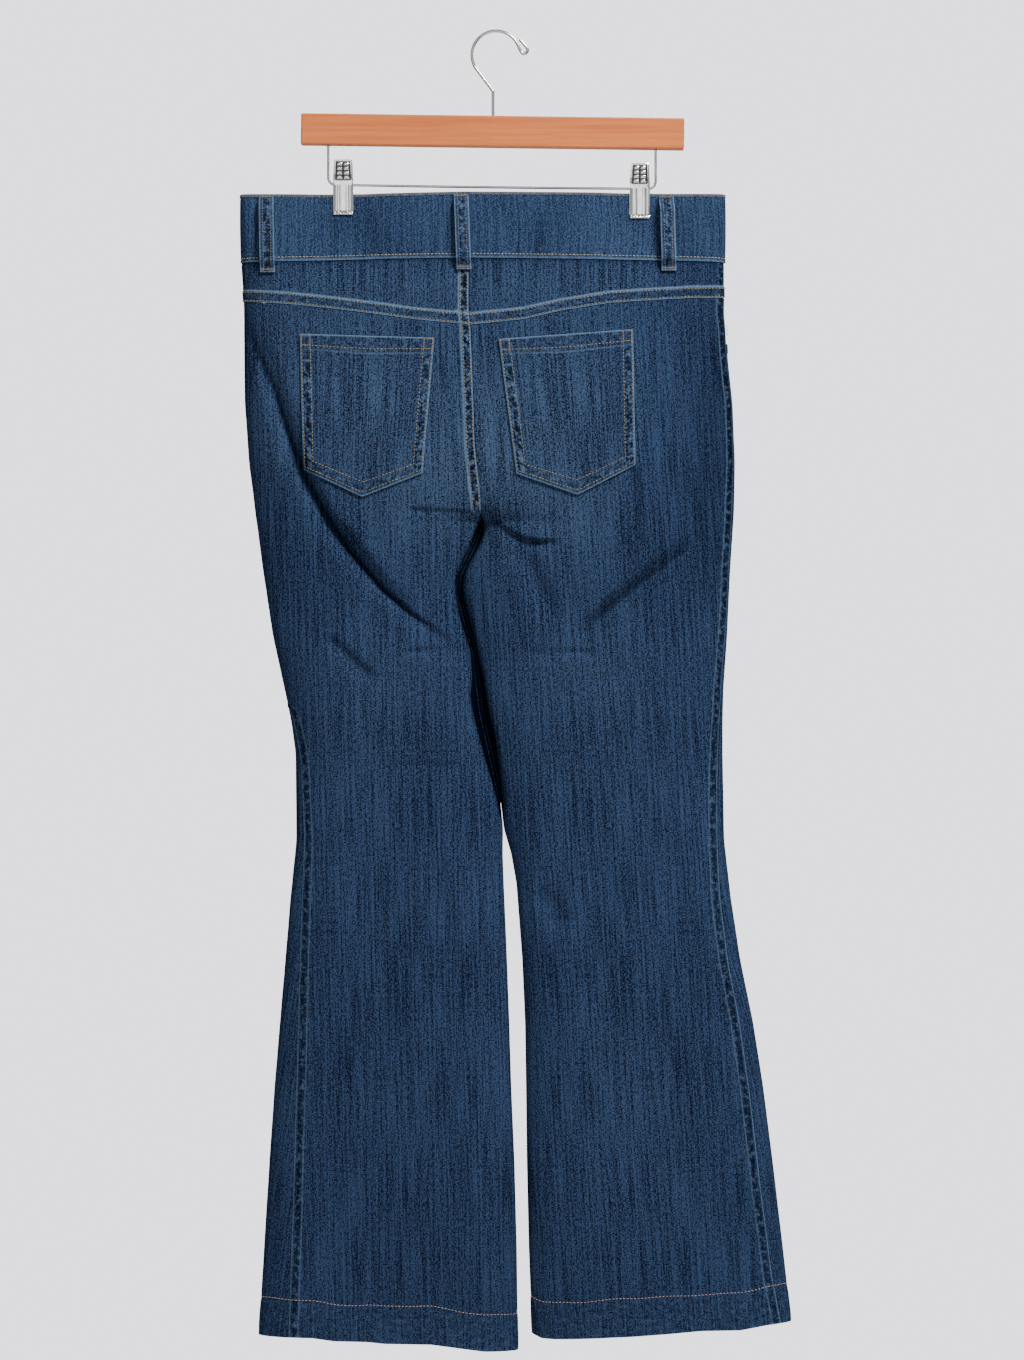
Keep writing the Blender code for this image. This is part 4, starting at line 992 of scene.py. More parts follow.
def on_face(points, face):
    """Which points lie on this face of the garment."""
    return points[..., 1] < 0.0 if face == "back" else points[..., 1] >= 0.0


def fade_and_painted_light_at(points):
    """How faded the cloth is at each point, with painted light and painted shade; negative is darker."""
    amount = np.zeros(points.shape[:-1])
    for face, across, drop, reach_x, reach_z, strength in FADES_AND_PAINTED_LIGHT:
        far = ((points[..., 0] - across) / reach_x) ** 2 + ((points[..., 2] + drop) / reach_z) ** 2
        amount += strength * np.exp(-far) * on_face(points, face)
    return np.clip(amount, -0.8, 1.0)


print("washed places:", len(FADES_AND_PAINTED_LIGHT))

# %% A closed wall from two grids
SHARP_ANGLE = 42.0


def wall_faces(rows, cols, ring):
    """Faces of two matching grids and of the rims that close them."""
    index = np.arange(rows * cols).reshape(rows, cols)
    near = index if ring else index[:, :-1]
    far = np.roll(index, -1, axis=1) if ring else index[:, 1:]
    outer = np.stack([near[:-1], far[:-1], far[1:], near[1:]], axis=-1).reshape(-1, 4)
    rims = [(far[0], near[0]), (near[-1], far[-1])]
    if not ring:
        left, right = index[:, 0], index[:, -1]
        rims += [(left[:-1], left[1:]), (right[1:], right[:-1])]
    back = rows * cols
    closed = [np.stack([a, b, b + back, a + back], axis=-1) for a, b in rims]
    return np.concatenate([outer, outer[:, ::-1] + back, *closed])


def signed_volume(points, faces):
    """Six times the volume inside the faces, negative where they point inwards."""
    a, b, c, d = (points[faces[:, i]] for i in range(4))
    return float((a * np.cross(b, c)).sum() + (a * np.cross(c, d)).sum())


def add_mesh(name, points, faces, material, smooth_angle=SHARP_ANGLE):
    """An object from points in millimetres and four-sided faces, turned outwards."""
    if signed_volume(points, faces) < 0.0:
        faces = faces[:, ::-1]
    mesh = bpy.data.meshes.new(name)
    mesh.vertices.add(len(points))
    mesh.vertices.foreach_set("co", (points * MM).ravel())
    mesh.loops.add(faces.size)
    mesh.loops.foreach_set("vertex_index", faces.ravel())
    mesh.polygons.add(len(faces))
    mesh.polygons.foreach_set("loop_start", np.arange(0, faces.size, 4))
    mesh.update(calc_edges=True)
    mesh.validate()
    mesh.materials.append(material)
    mesh.shade_smooth()
    mesh.set_sharp_from_angle(angle=math.radians(smooth_angle))
    return add_object(name, mesh)


def set_values(obj, name, values):
    """A value kept on each point of a piece."""
    obj.data.attributes.new(name, "FLOAT", "POINT").data.foreach_set("value", np.ravel(values))


def set_cloth_place(obj, across, down):
    """The piece's UV map: where each point lies on the flat cloth, in metres."""
    layer = obj.data.uv_layers.new(name="cloth")
    corners = np.zeros(len(obj.data.loops), dtype=np.int32)
    obj.data.loops.foreach_get("vertex_index", corners)
    place = np.stack([np.ravel(across), -np.ravel(down)], axis=-1) * MM
    layer.data.foreach_set("uv", place[corners].ravel())


def add_cloth(name, outer, inner, place, edge, pucker, material, ring=False, kept_dye_and_painted_shade=0.0):
    """One cloth piece with its values. place is (across, down) on the flat cloth in millimetres."""
    shape = outer.shape[:2]

    def on_outer(values, on_inner=0.0):
        values = np.broadcast_to(values, shape).ravel()
        return np.concatenate([values, np.full(values.size, on_inner)])

    points = np.concatenate([outer.reshape(-1, 3), inner.reshape(-1, 3)])
    obj = add_mesh(name, points, wall_faces(*shape, ring), CLOTH[material])
    set_cloth_place(obj, *(np.tile(np.broadcast_to(part, shape).ravel(), 2) for part in place))
    set_values(obj, "edge", on_outer(edge, FAR) * MM)
    set_values(obj, "pucker", on_outer(pucker))
    # The last value holds the wash with painted light and painted shade, less each piece's kept dye and
    # painted shade.
    set_values(obj, "wash_and_painted_light", fade_and_painted_light_at(points) - on_outer(kept_dye_and_painted_shade))
    return obj


print("wall maker ready")

# %% [markdown]
# ## Leg panels
#
# Each leg is a back panel and a front panel. The rows of their grids bend to follow the yoke at
# the top and the uneven hem at the bottom. Along the side seam the back panel lies over the
# seam allowance, which lifts a narrow ridge, and its puckers stay dark beside it. Above the
# crotch the left panel carries the felled centre seam as a raised band.

# %% Rows, columns and relief of the leg panels
PANEL_WALL = 1.5
HEM_WALL = 2.6
SEAM_GAP = 0.3
INSEAM_GAP = 0.05
SIDE_GAP = 0.4
CROSSING_GAP = 0.7
CROSSING = 634.0
CROSSING_SPREAD = 50.0
FELL_WIDTH = 9.0
FELL_RISE = 0.8
FELL_END = 415.0
FELL_FADE = 14.0
HEM_DEPTH = 34.6
HEM_ROWS = 14
HEM_RUB = 1.6
SIDE_FRINGE = 8.8
SEAM_ENDS = 8.0
FRONT_SEAM_ENDS = 4.0
ROW_STEPS = (
    # drop, step to the next row
    (262, 3.0),
    (410, 2.2),
    (435, 1.6),
    (530, 1.8),
    (700, 3.0),
    (900, 4.4),
    (1150, 4.4),
)
COLUMN_STEP = 2.5
BACK_COLUMNS = 70
FROM_SEAM = (0.0, 0.5, 1.1, 1.9, 3.0, 4.4, 6.0, 7.4, 8.3, 9.1, 10.0, 11.6, 14.0)
STITCH_ROWS = (1.5, 7.6)
GROOVE = 0.28
GROOVE_WIDTH = 0.6
RIDGE = 0.5
ROLL = 0.35
ROLL_WIDTH = 0.5


def hem_drop(across):
    """Drop of the hem's lower edge at this distance across."""
    return read(HEM_LINE, 1, across)


def leg_rows(top):
    """Drops of a leg panel's rows before the yoke and hem bend them, closest in the creased part."""
    rows = [top]
    while rows[-1] < HEM_EDGE - HEM_DEPTH - 4.0:
        rows.append(rows[-1] + float(read(ROW_STEPS, 1, rows[-1])))
    rows = np.array(rows)
    low = np.linspace(HEM_EDGE - HEM_DEPTH, HEM_EDGE, HEM_ROWS)
    return np.concatenate([rows, low, [HEM_EDGE + 0.01]])


def bend_rows(half, nominal, arcs, yoke_drop):
    """Drops of the rows' points, drawn to the yoke above and to the hem below."""
    to_yoke = np.clip((YOKE_FREE - nominal) / (YOKE_FREE - YOKE_SEAM), 0.0, 1.0)
    to_hem = np.clip((nominal - HEM_FREE) / (HEM_EDGE - HEM_FREE), 0.0, 1.0)
    to_edge = hem_drop(across_at(half, nominal, arcs)) - HEM_EDGE
    return nominal + (yoke_drop - YOKE_SEAM) * to_yoke + to_edge * to_hem


def seam_gap_arc(drop):
    """Arc left free at a panel's edge, for half of a seam's gap."""
    return np.where(drop > CROTCH - CROTCH_ROUND, INSEAM_GAP, SEAM_GAP / 2.0)


def side_gap_arc(drop):
    """Arc left free at the side seam, wider where the seam crosses the folded edge."""
    return (SIDE_GAP + CROSSING_GAP * hump(drop, CROSSING, CROSSING_SPREAD)) / 2.0


def rolled(distance):
    """How far a cut edge rolls inwards near its seam."""
    return -ROLL * np.exp(-distance / ROLL_WIDTH)


def grooves(distance, rows):
    """The narrow grooves that rows of sewing press into the cloth."""
    return GROOVE * sum(hump(distance, row, GROOVE_WIDTH) for row in rows)


def felled(side, drop, from_centre):
    """Height of the felled centre seam, which lies on the left panels."""
    if side == "right":
        return np.zeros(np.broadcast(drop, from_centre).shape)
    band = FELL_RISE * ease((FELL_WIDTH + 0.5 - from_centre) / 0.9)
    return (band - grooves(from_centre, STITCH_ROWS)) * ease((FELL_END - drop) / FELL_FADE)


def fell_wear(from_centre):
    """Distance to the felled seam's two edges, and its pucker between the rows of sewing."""
    return np.minimum(from_centre, np.abs(from_centre - FELL_WIDTH)), between(from_centre, 1.2, 8.2)


print("leg rows:", len(leg_rows(YOKE_SEAM)))

# %% What the panels of a leg share


def yoke_drops(side, arcs):
    """Drop of the yoke's lower edge at these arcs."""
    return read(YOKE_LINE, COLUMN_OF[side], arcs)


def hem_relief(drops, hem, arcs):
    """The doubled hem: a groove under its sewing and slanting ripples below it."""
    above = hem - drops
    inside = ease((HEM_DEPTH - above) / 4.0)
    ripple = np.sin(arcs / 2.4 + above / 7.0 + 1.6 * np.sin(arcs / 19.0))
    return 0.35 * inside * ripple * ease(above / 6.0) - 0.45 * hump(above, HEM_DEPTH, 1.2) + 0.3 * inside


def add_leg(side, face, nominal, drops, arcs, from_centre, lifts, edge, pucker, kept_dye_and_painted_shade=0.0):
    """A panel from its own relief and wear, and from what every panel has: hem, grain, creases."""
    half, hem = HALVES[side], drops[-1]
    lifts = lifts + hem_relief(drops, hem, arcs)
    lifts += np.where(drops < CROTCH - CROTCH_ROUND, rolled(from_centre), 0.0)
    outer = on_surface(half, drops, arcs, lifts)[0]
    inner = on_surface(half, drops, arcs, np.where(nominal > HEM_FOLD, -HEM_WALL, -PANEL_WALL))[0]
    edge = np.minimum(edge, (hem - drops) * HEM_RUB + 0.6)
    pucker = np.maximum(pucker, 0.2 * ease((HEM_DEPTH - 1.0 - hem + drops) / 3.0))
    # Painted shade in the cores of the sharpest creases, on this face only.
    deep = crease_push(face, outer[..., 0], drops)[1] * on_face(outer, face)
    place = (off_grain(side, face, drops, arcs), drops)
    args = (outer, inner, place, edge, pucker, "denim")
    return add_cloth(f"jeans_{face}_{side}", *args, kept_dye_and_painted_shade=np.maximum(kept_dye_and_painted_shade, deep))


print("hem's ripples at its middle:", hem_relief(0.0, HEM_DEPTH / 2.0, np.arange(3.0)).round(2))

# %% The back legs


def back_arcs(half, drop):
    """Arcs of a back panel's columns at one drop."""
    start = float(seam_gap_arc(drop))
    end = at_level(half["seam"], drop) - side_gap_arc(drop)
    return spread(start, end, FROM_SEAM, FROM_SEAM, BACK_COLUMNS)


def make_back_leg(side):
    """A back panel: seat, thigh and leg in one piece, hemmed."""
    half = HALVES[side]
    nominal = leg_rows(YOKE_SEAM)[:, None]
    arcs = np.array([back_arcs(half, drop) for drop in nominal[:, 0]])
    drops = bend_rows(half, nominal, arcs, yoke_drops(side, arcs[0]) + SEAM_GAP / 2.0)
    from_centre, from_side = arcs - arcs[:, :1], arcs[:, -1:] - arcs
    lifts = felled(side, drops, from_centre) + rolled(from_side)
    lifts += RIDGE * hump(from_side, 1.0, 0.9) - GROOVE * hump(from_side, 2.9, 0.8)
    edge = np.minimum(from_side, np.abs(from_side - SIDE_FRINGE) + 0.7)
    pucker = 0.6 * between(from_side, 1.7, 11.0, fall=2.0)
    if side == "left":
        above = drops < CROTCH - SEAM_ENDS
        band, sewn = fell_wear(from_centre)
        edge = np.where(above, np.minimum(edge, band), edge)
        pucker = np.maximum(pucker, sewn * above)
    # Painted shade: the gap between the thighs is darkened to nearly black, where shadow fills it.
    gap = read(THIGH_GAP, COLUMN_OF[side], drops)
    kept_dye_and_painted_shade = 2.0 * ease((gap + 3.0 - from_centre) / 3.0) * ease(gap / 1.5)
    kept_dye_and_painted_shade = np.maximum(kept_dye_and_painted_shade, 0.9 * between(from_side, 1.6, SIDE_FRINGE - 1.0, 0.9, 1.6))
    return add_leg(side, "back", nominal, drops, arcs, from_centre, lifts, edge, pucker, kept_dye_and_painted_shade)


SHELLS = {"back_" + side: make_back_leg(side) for side in SIDES}
print({name: len(obj.data.polygons) for name, obj in SHELLS.items()})

# %% [markdown]
# ## Yokes
#
# A yoke shapes the seat between waistband and back panel. Its lower edge is felled over the
# panel with two rows of sewing 7 mm apart, so a band about 11 mm wide stands proud there.

# %% The yokes
YOKE_BAND = 10.6
YOKE_ROWS = (1.6, 9.0)
YOKE_UPPER_ROWS = 14
YOKE_BAND_ROWS = (0.25, 0.7, 1.3, 2.2, 3.6, 5.4, 7.2, 8.4, 9.3, 10.0, 10.35, YOKE_BAND)
YOKE_CLOTH_SHIFT = 37.0


def waist_drop(across):
    """Drop of the waistband's lower edge at this distance across."""
    return read(WAIST_LINE, 2, across)


def make_yoke(side):
    """A back yoke with its felled lower edge."""
    half = HALVES[side]
    arcs = back_arcs(half, YOKE_SEAM)[None, :]
    low = yoke_drops(side, arcs) - SEAM_GAP / 2.0
    high = waist_drop(across_at(half, WAIST_SEAM, arcs)) + SEAM_GAP / 2.0
    shelf = low - YOKE_BAND
    upper = high + (shelf - high) * np.linspace(0.0, 1.0, YOKE_UPPER_ROWS)[:, None]
    drops = np.concatenate([upper, shelf + np.array(YOKE_BAND_ROWS)[:, None]])
    arcs = np.repeat(arcs, len(drops), axis=0)
    above, below_band = low - drops, drops - high
    from_centre, from_side = arcs - arcs[:, :1], arcs[:, -1:] - arcs
    raised = ease((YOKE_BAND - above + 0.2) / 0.8)
    lifts = np.maximum(FELL_RISE * raised, felled(side, drops, from_centre))
    lifts -= grooves(above, YOKE_ROWS) * raised
    lifts += 0.5 * rolled(above) + rolled(from_side) + rolled(from_centre) + 1.6 * rolled(below_band)
    outer = on_surface(half, drops, arcs, lifts)[0]
    inner = on_surface(half, drops, arcs, -PANEL_WALL)[0]
    edge = np.minimum(np.minimum(above, np.abs(above - YOKE_BAND)), from_side)
    pucker = 0.3 * between(above, 1.2, YOKE_ROWS[1] + 0.6)
    if side == "left":
        band, sewn = fell_wear(from_centre)
        edge, pucker = np.minimum(edge, band), np.maximum(pucker, sewn)
    pucker = np.maximum(pucker, between(from_side, 1.7, 9.2, fall=2.0))
    # Painted shadow: a dark band along the yoke's top, just under the waistband's edge.
    kept_dye_and_painted_shade = 1.1 * ease((3.4 - below_band) / 3.0)
    place = (off_grain(side, "back", drops, arcs) + YOKE_CLOTH_SHIFT, drops)
    return add_cloth("jeans_yoke_" + side, outer, inner, place, edge, pucker, "denim", kept_dye_and_painted_shade=kept_dye_and_painted_shade)


for side in SIDES:
    SHELLS["yoke_" + side] = make_yoke(side)
print("yoke faces:", len(SHELLS["yoke_left"].data.polygons))

# %% [markdown]
# ## Front panels and their pocket facings
#
# The front panel wraps round the side and is cut away at its top in a scoop, the mouth of the
# front pocket. The facing is the denim that shows inside that mouth. It lies under the panel.

# %% The front legs
SCOOP_WIDTH = 95.0
SCOOP_DROP = 75.0
SCOOP_ROWS = (1.6, 8.0)
FACING_UNDERLAP = 12.0
FACING_LIFT = -2.4
FRONT_ROWS_DOWN = (0.0, 0.004, 0.012, 0.025, *np.linspace(0.04, 0.97, 26))
FRONT_COLUMNS = 35
ROUND_THE_SIDE = (*np.arange(16.0, 88.0, COLUMN_STEP), 88.0, 90.5, 92.5, 94.0, 95.5)


def scoop_drop(from_side, top):
    """Drop of the scooped pocket mouth at a distance from the side seam."""
    inside = np.clip(from_side / SCOOP_WIDTH, 0.0, 1.0)
    return top + SCOOP_DROP * np.sqrt(1.0 - inside**2)


def front_arcs(half, drop):
    """Arcs of a front panel's columns at one drop, from the side seam to the centre."""
    start = at_level(half["seam"], drop) + side_gap_arc(drop)
    end = at_level(half["length"], drop) - float(seam_gap_arc(drop))
    return spread(start, end, FROM_SEAM + ROUND_THE_SIDE, FROM_SEAM, FRONT_COLUMNS)


def make_front_leg(side):
    """A front panel, cut away at the top for its scooped pocket."""
    half = HALVES[side]
    seam_line = float(yoke_drops(side, at_level(half["seam"], YOKE_SEAM))) + SEAM_GAP / 2.0
    lower = leg_rows(YOKE_FREE)[:, None]
    first = front_arcs(half, WAIST_SEAM)
    waist = waist_drop(across_at(half, WAIST_SEAM, first)) + SEAM_GAP / 2.0
    top = scoop_drop(first - first[0], waist)
    slope = np.hypot(1.0, np.gradient(top, first))
    upper = top + (lower[0] - top) * np.array(FRONT_ROWS_DOWN)[:, None]
    upper_arcs = [[front_arcs(half, drop)[col] for col, drop in enumerate(row)] for row in upper]
    lower_arcs = np.array([front_arcs(half, drop) for drop in lower[:, 0]])
    drops = np.concatenate([upper, bend_rows(half, lower, lower_arcs, seam_line)])
    arcs = np.concatenate([upper_arcs, lower_arcs])
    nominal = np.concatenate([upper.min(axis=1), lower[:, 0]])[:, None]
    from_mouth = (drops - top) / slope
    from_centre, from_side = arcs[:, -1:] - arcs, arcs - arcs[:, :1]
    above = drops < CROTCH - FRONT_SEAM_ENDS
    lifts = rolled(from_side) + rolled(from_mouth) - grooves(from_mouth, SCOOP_ROWS)
    lifts += 0.5 * ease((9.0 - from_mouth) / 1.2) * (first - first[0] < SCOOP_WIDTH)
    lifts += 0.5 * ease((8.8 - from_centre) / 1.0) * above
    edge = np.minimum(from_mouth + 0.3, np.where(above, from_centre, FAR))
    pucker = 0.7 * between(from_mouth, 1.4, 8.4)
    pucker = np.maximum(pucker, 0.8 * between(from_centre, 1.4, 8.0) * above)
    return add_leg(side, "front", nominal, drops, arcs, from_centre, lifts, edge, pucker)


for side in SIDES:
    SHELLS["front_" + side] = make_front_leg(side)
print("front panel faces:", len(SHELLS["front_left"].data.polygons))

# %% The pocket facings


def make_facing(side):
    """The denim that shows in a scooped front pocket."""
    half = HALVES[side]
    offsets = np.linspace(0.0, SCOOP_WIDTH + FACING_UNDERLAP, 40)[None, :]
    start = at_level(half["seam"], WAIST_SEAM) + SIDE_GAP / 2.0
    waist = waist_drop(across_at(half, WAIST_SEAM, start + offsets)) + SEAM_GAP / 2.0
    bottom = scoop_drop(offsets, waist) + FACING_UNDERLAP
    drops = waist + (bottom - waist) * np.linspace(0.0, 1.0, 30)[:, None]
    arcs = at_level(half["seam"], drops) + SIDE_GAP / 2.0 + offsets
    outer = on_surface(half, drops, arcs, FACING_LIFT)[0]
    inner = on_surface(half, drops, arcs, FACING_LIFT - PANEL_WALL)[0]
    name = "jeans_pocket_facing_" + side
    return add_cloth(name, outer, inner, (arcs, drops), FAR, 0.0, "denim_facing")


for side in SIDES:
    SHELLS["front_pocket_facing_" + side] = make_facing(side)
print("facings made")

# %% [markdown]
# ## Waistband
#
# The wide waistband is one doubled ring. Its top edge is bound with close overlock stitches, and
# a single row holds its lower edge, which stands a little proud and is rubbed pale.

# %% The waistband
BAND_LIFT = 0.4
BAND_WALL = 2.0
BAND_ROW = 3.9
BAND_TOP_STRIP = 3.8
BAND_MIDDLE_ROWS = 15
BAND_COLUMNS = 68


def band_shares():
    """Places of the waistband's rows, from 0 at its top to 1 at its lower edge."""
    high = (0.0, 0.35, 0.9, 1.8, 2.9, 3.7, 4.2, 5.2)
    low = (0.0, 0.3, 0.8, 1.5, 2.3, 3.1, 3.9, 4.7, 5.8)
    return spread(0.0, WAIST_SEAM - WAIST_TOP, high, low, BAND_MIDDLE_ROWS) / (WAIST_SEAM - WAIST_TOP)


def band_arcs(half, drop):
    """Arcs of one half's columns, from the centre back round to the centre front."""
    edge, end = (float(at_level(half[name], drop)) for name in ("edge", "length"))
    near_edge = (0.0, 1.5, 3.0, 5.0, 7.5, 10.0, 13.0)
    back = spread(0.0, edge, (0.0,), near_edge, BAND_COLUMNS)
    front = spread(edge, end, near_edge, (0.0,), BAND_COLUMNS)
    return np.concatenate([back, front[1:]])


def make_waistband():
    """The waistband, one closed ring."""
    grids = {"outer": [], "inner": [], "place": [], "above": [], "below": []}
    for share in band_shares():
        loops = {key: [] for key in grids}
        walked = 0.0
        for side, step in (("left", 1), ("right", -1)):
            half = HALVES[side]
            arcs = band_arcs(half, WAIST_TOP + share * (WAIST_SEAM - WAIST_TOP))[::step]
            across = across_at(half, WAIST_SEAM, arcs)
            top, bottom = read(WAIST_LINE, 1, across), waist_drop(across) - SEAM_GAP / 2.0
            drops = top + (bottom - top) * share
            above, below = bottom - drops, drops - top
            lift = BAND_LIFT + 0.5 * np.sin(math.pi * share) + rolled(above) + rolled(below)
            lift += 0.45 * hump(above, 1.3, 1.3) - 0.4 * hump(above, BAND_ROW, 0.8)
            lift -= 0.3 * hump(below, BAND_TOP_STRIP, 0.6)
            lengths = np.abs(arcs - arcs[0])
            outer = on_surface(half, drops, arcs, lift)[0]
            inner = on_surface(half, drops, arcs, BAND_LIFT - BAND_WALL)[0]
            for key, values in zip(loops, (outer, inner, lengths + walked, above, below)):
                loops[key].append(values[:-1])
            walked += lengths[-1]
        for key, parts in loops.items():
            grids[key].append(np.concatenate(parts))
    grids = {key: np.array(rows) for key, rows in grids.items()}
    edge = np.minimum(grids["above"] * 0.75, grids["below"] + 0.8)
    pucker = 0.3 * ease((BAND_ROW + 5.0 - grids["above"]) / 4.0)
    place = (grids["place"], grids["below"] + WAIST_TOP)
    args = (grids["outer"], grids["inner"], place, edge, pucker, "denim_band")
    return add_cloth("jeans_waistband", *args, ring=True)


SHELLS["waistband"] = make_waistband()
print("waistband faces:", len(SHELLS["waistband"].data.polygons))

# %% [markdown]
# ## Back pockets
#
# Both patch pockets are cut alike: 124 mm wide at the mouth, with a hemmed mouth and a shallow
# point. They are laid on the finished panels by casting rays from the viewer, so they follow the
# creases under them. Their folded edges stand proud and are rubbed pale all round.

# %% The back pockets
POCKET_MOUTH = 124.4
POCKET_HEEL = 110.0
POCKET_SIDE = 125.4
POCKET_POINT = 23.6
POCKET_HEM = 14.0
POCKET_HEM_ROW = 10.2
POCKET_GAP = 0.45
POCKET_ROWS = (1.5, 9.4)
POCKET_SLOPE = 0.92
POCKET_CLOTH_SHIFT = 500.0
POCKET_COLUMNS = 38
POCKET_MIDDLE_ROWS = 40
POCKET_EVENINGS = 12
POCKET_FROM_EDGE = (0.0, 0.5, 1.1, 2.0, 3.2, 5.0, 7.0, 8.6, 9.6, 10.6)
VIEWER = 300.0
POCKETS = (
    # side, across of mouth's middle, its drop, turn in degrees
    ("left", -118.9, 284.0, 1.7),
    ("right", 64.5, 282.4, -4.2),
)


def pocket_width(down):
    """A pocket's width this far below its mouth."""
    return POCKET_MOUTH + (POCKET_HEEL - POCKET_MOUTH) * down / POCKET_SIDE


def pocket_place(middle, mouth_drop, turn, part, down):
    """Across and drop of a place on a pocket: part is -0.5 to 0.5 over its width."""
    cos, sin = math.cos(math.radians(turn)), math.sin(math.radians(turn))
    along = pocket_width(down) * part
    low = down + POCKET_POINT * (1.0 - np.abs(part) * 2.0) * down / POCKET_SIDE
    return middle + along * cos - low * sin, mouth_drop + along * sin + low * cos


def soften(values, passes):
    """A grid of values, evened out between neighbours."""
    for _ in range(passes):
        wide = np.pad(values, 1, mode="edge")
        beside = wide[:-2, 1:-1] + wide[2:, 1:-1] + wide[1:-1, :-2] + wide[1:-1, 2:]
        values = (beside + 4 * values) / 8.0
    return values


def make_pocket(side, middle, mouth_drop, turn):
    """A back pocket laid on its panel, with the grid that its sewing follows."""
    tree = BVHTree.FromObject(SHELLS["back_" + side], bpy.context.evaluated_depsgraph_get())
    steps = [step / POCKET_MOUTH for step in POCKET_FROM_EDGE]
    parts = spread(-0.5, 0.5, steps, steps, POCKET_COLUMNS)
    at_mouth = POCKET_FROM_EDGE + (12.6, 13.6, 14.2, 15.0)
    downs = spread(0.0, POCKET_SIDE, at_mouth, POCKET_FROM_EDGE, POCKET_MIDDLE_ROWS)
    part, down = np.meshgrid(parts, downs)
    x, drop = pocket_place(middle, mouth_drop, turn, part, down)
    stand = np.zeros_like(x)
    for spot in np.ndindex(x.shape):
        origin = (x[spot] * MM, -VIEWER * MM, -drop[spot] * MM)
        stand[spot] = -tree.ray_cast(origin, (0.0, 1.0, 0.0))[0].y / MM
    smooth = soften(stand, POCKET_EVENINGS)
    stand = smooth + max(0.0, (stand - smooth).max()) * 0.5 + POCKET_GAP
    from_side = (0.5 - np.abs(part)) * pocket_width(down)
    from_low = (POCKET_SIDE - down) * (1.0 + POCKET_POINT / POCKET_SIDE * (1 - 2 * np.abs(part)))
    from_low = from_low * POCKET_SLOPE
    around = np.minimum(from_side, from_low)
    in_hem = ease((POCKET_HEM - down + 0.4) / 0.8)
    lift = PANEL_WALL + 0.45 * ease((10.4 - around) / 1.2) + 0.7 * in_hem + 0.15 * np.sin(part * 6.0) ** 2
    lift += 1.4 * rolled(around) + rolled(down)
    lift -= grooves(around, POCKET_ROWS) + GROOVE * hump(down, POCKET_HEM_ROW, 0.7)
    inner = np.stack([x, -stand, -drop], axis=-1)
    outer = np.stack([x, -stand - lift, -drop], axis=-1)
    edge = np.minimum(np.minimum(around, down), np.abs(down - POCKET_HEM) * 1.3 + 0.5)
    sewn = between(around, 1.8, 9.8, fall=1.2) * ease((down - 15.0) / 2.0)
    low_part = ease((from_side - from_low) / 6.0)
    pucker = np.maximum(sewn * (1.0 - 0.45 * low_part), 0.3 * in_hem)
    place = (part * POCKET_MOUTH + POCKET_CLOTH_SHIFT, down)
    shell = add_cloth("jeans_back_pocket_" + side, outer, inner, place, edge, pucker, "denim")
    return shell, {"parts": parts, "downs": downs, "outer": outer}


POCKET_GRIDS = {}
for side, middle, mouth_drop, turn in POCKETS:
    SHELLS["back_pocket_" + side], POCKET_GRIDS[side] = make_pocket(side, middle, mouth_drop, turn)
print("pocket faces:", len(SHELLS["back_pocket_left"].data.polygons))

# %% [markdown]
# ## Belt loops
#
# A belt loop is a narrow strip folded in three. It is sewn down at both ends and stands off the
# waistband between them, so that a belt can pass. Its folded edges are rubbed pale.

# %% The belt loops
LOOP_WIDTH = 13.6
LOOP_WALL = 1.7
LOOP_SEAT = 0.45
LOOP_ROWS = 46
LOOP_PARTS = (-0.5, -0.46, -0.4, -0.32, -0.2, 0.0, 0.2, 0.32, 0.4, 0.46, 0.5)
LOOP_STITCHES = 0.26
LOOP_CLOTH_SHIFT = 700.0
LOOP_RISE = (
    # share of the length, share of the full stand
    (0.0, 0.0),
    (0.045, 0.0),
    (0.09, 0.45),
    (0.15, 0.92),
    (0.22, 1.0),
    (0.5, 0.97),
    (0.78, 1.0),
    (0.85, 0.9),
    (0.90, 0.42),
    (0.94, 0.0),
    (1.0, 0.0),
)
LOOPS = (
    # name, face, across at the top and at the foot, drop of both, stand, seam under the foot
    ("back_left", "back", -213.0, -211.4, 152.6, 224.8, 5.9, 0.0),
    ("back_centre", "back", -32.3, -29.6, 151.6, 222.2, 5.9, FELL_RISE),
    ("back_right", "back", 158.6, 160.4, 152.2, 223.4, 7.2, 0.0),
    ("front_left", "front", -92.0, -91.0, 152.6, 223.6, 5.9, 0.0),
    ("front_right", "front", 96.0, 96.5, 152.4, 223.4, 6.3, 0.0),
)


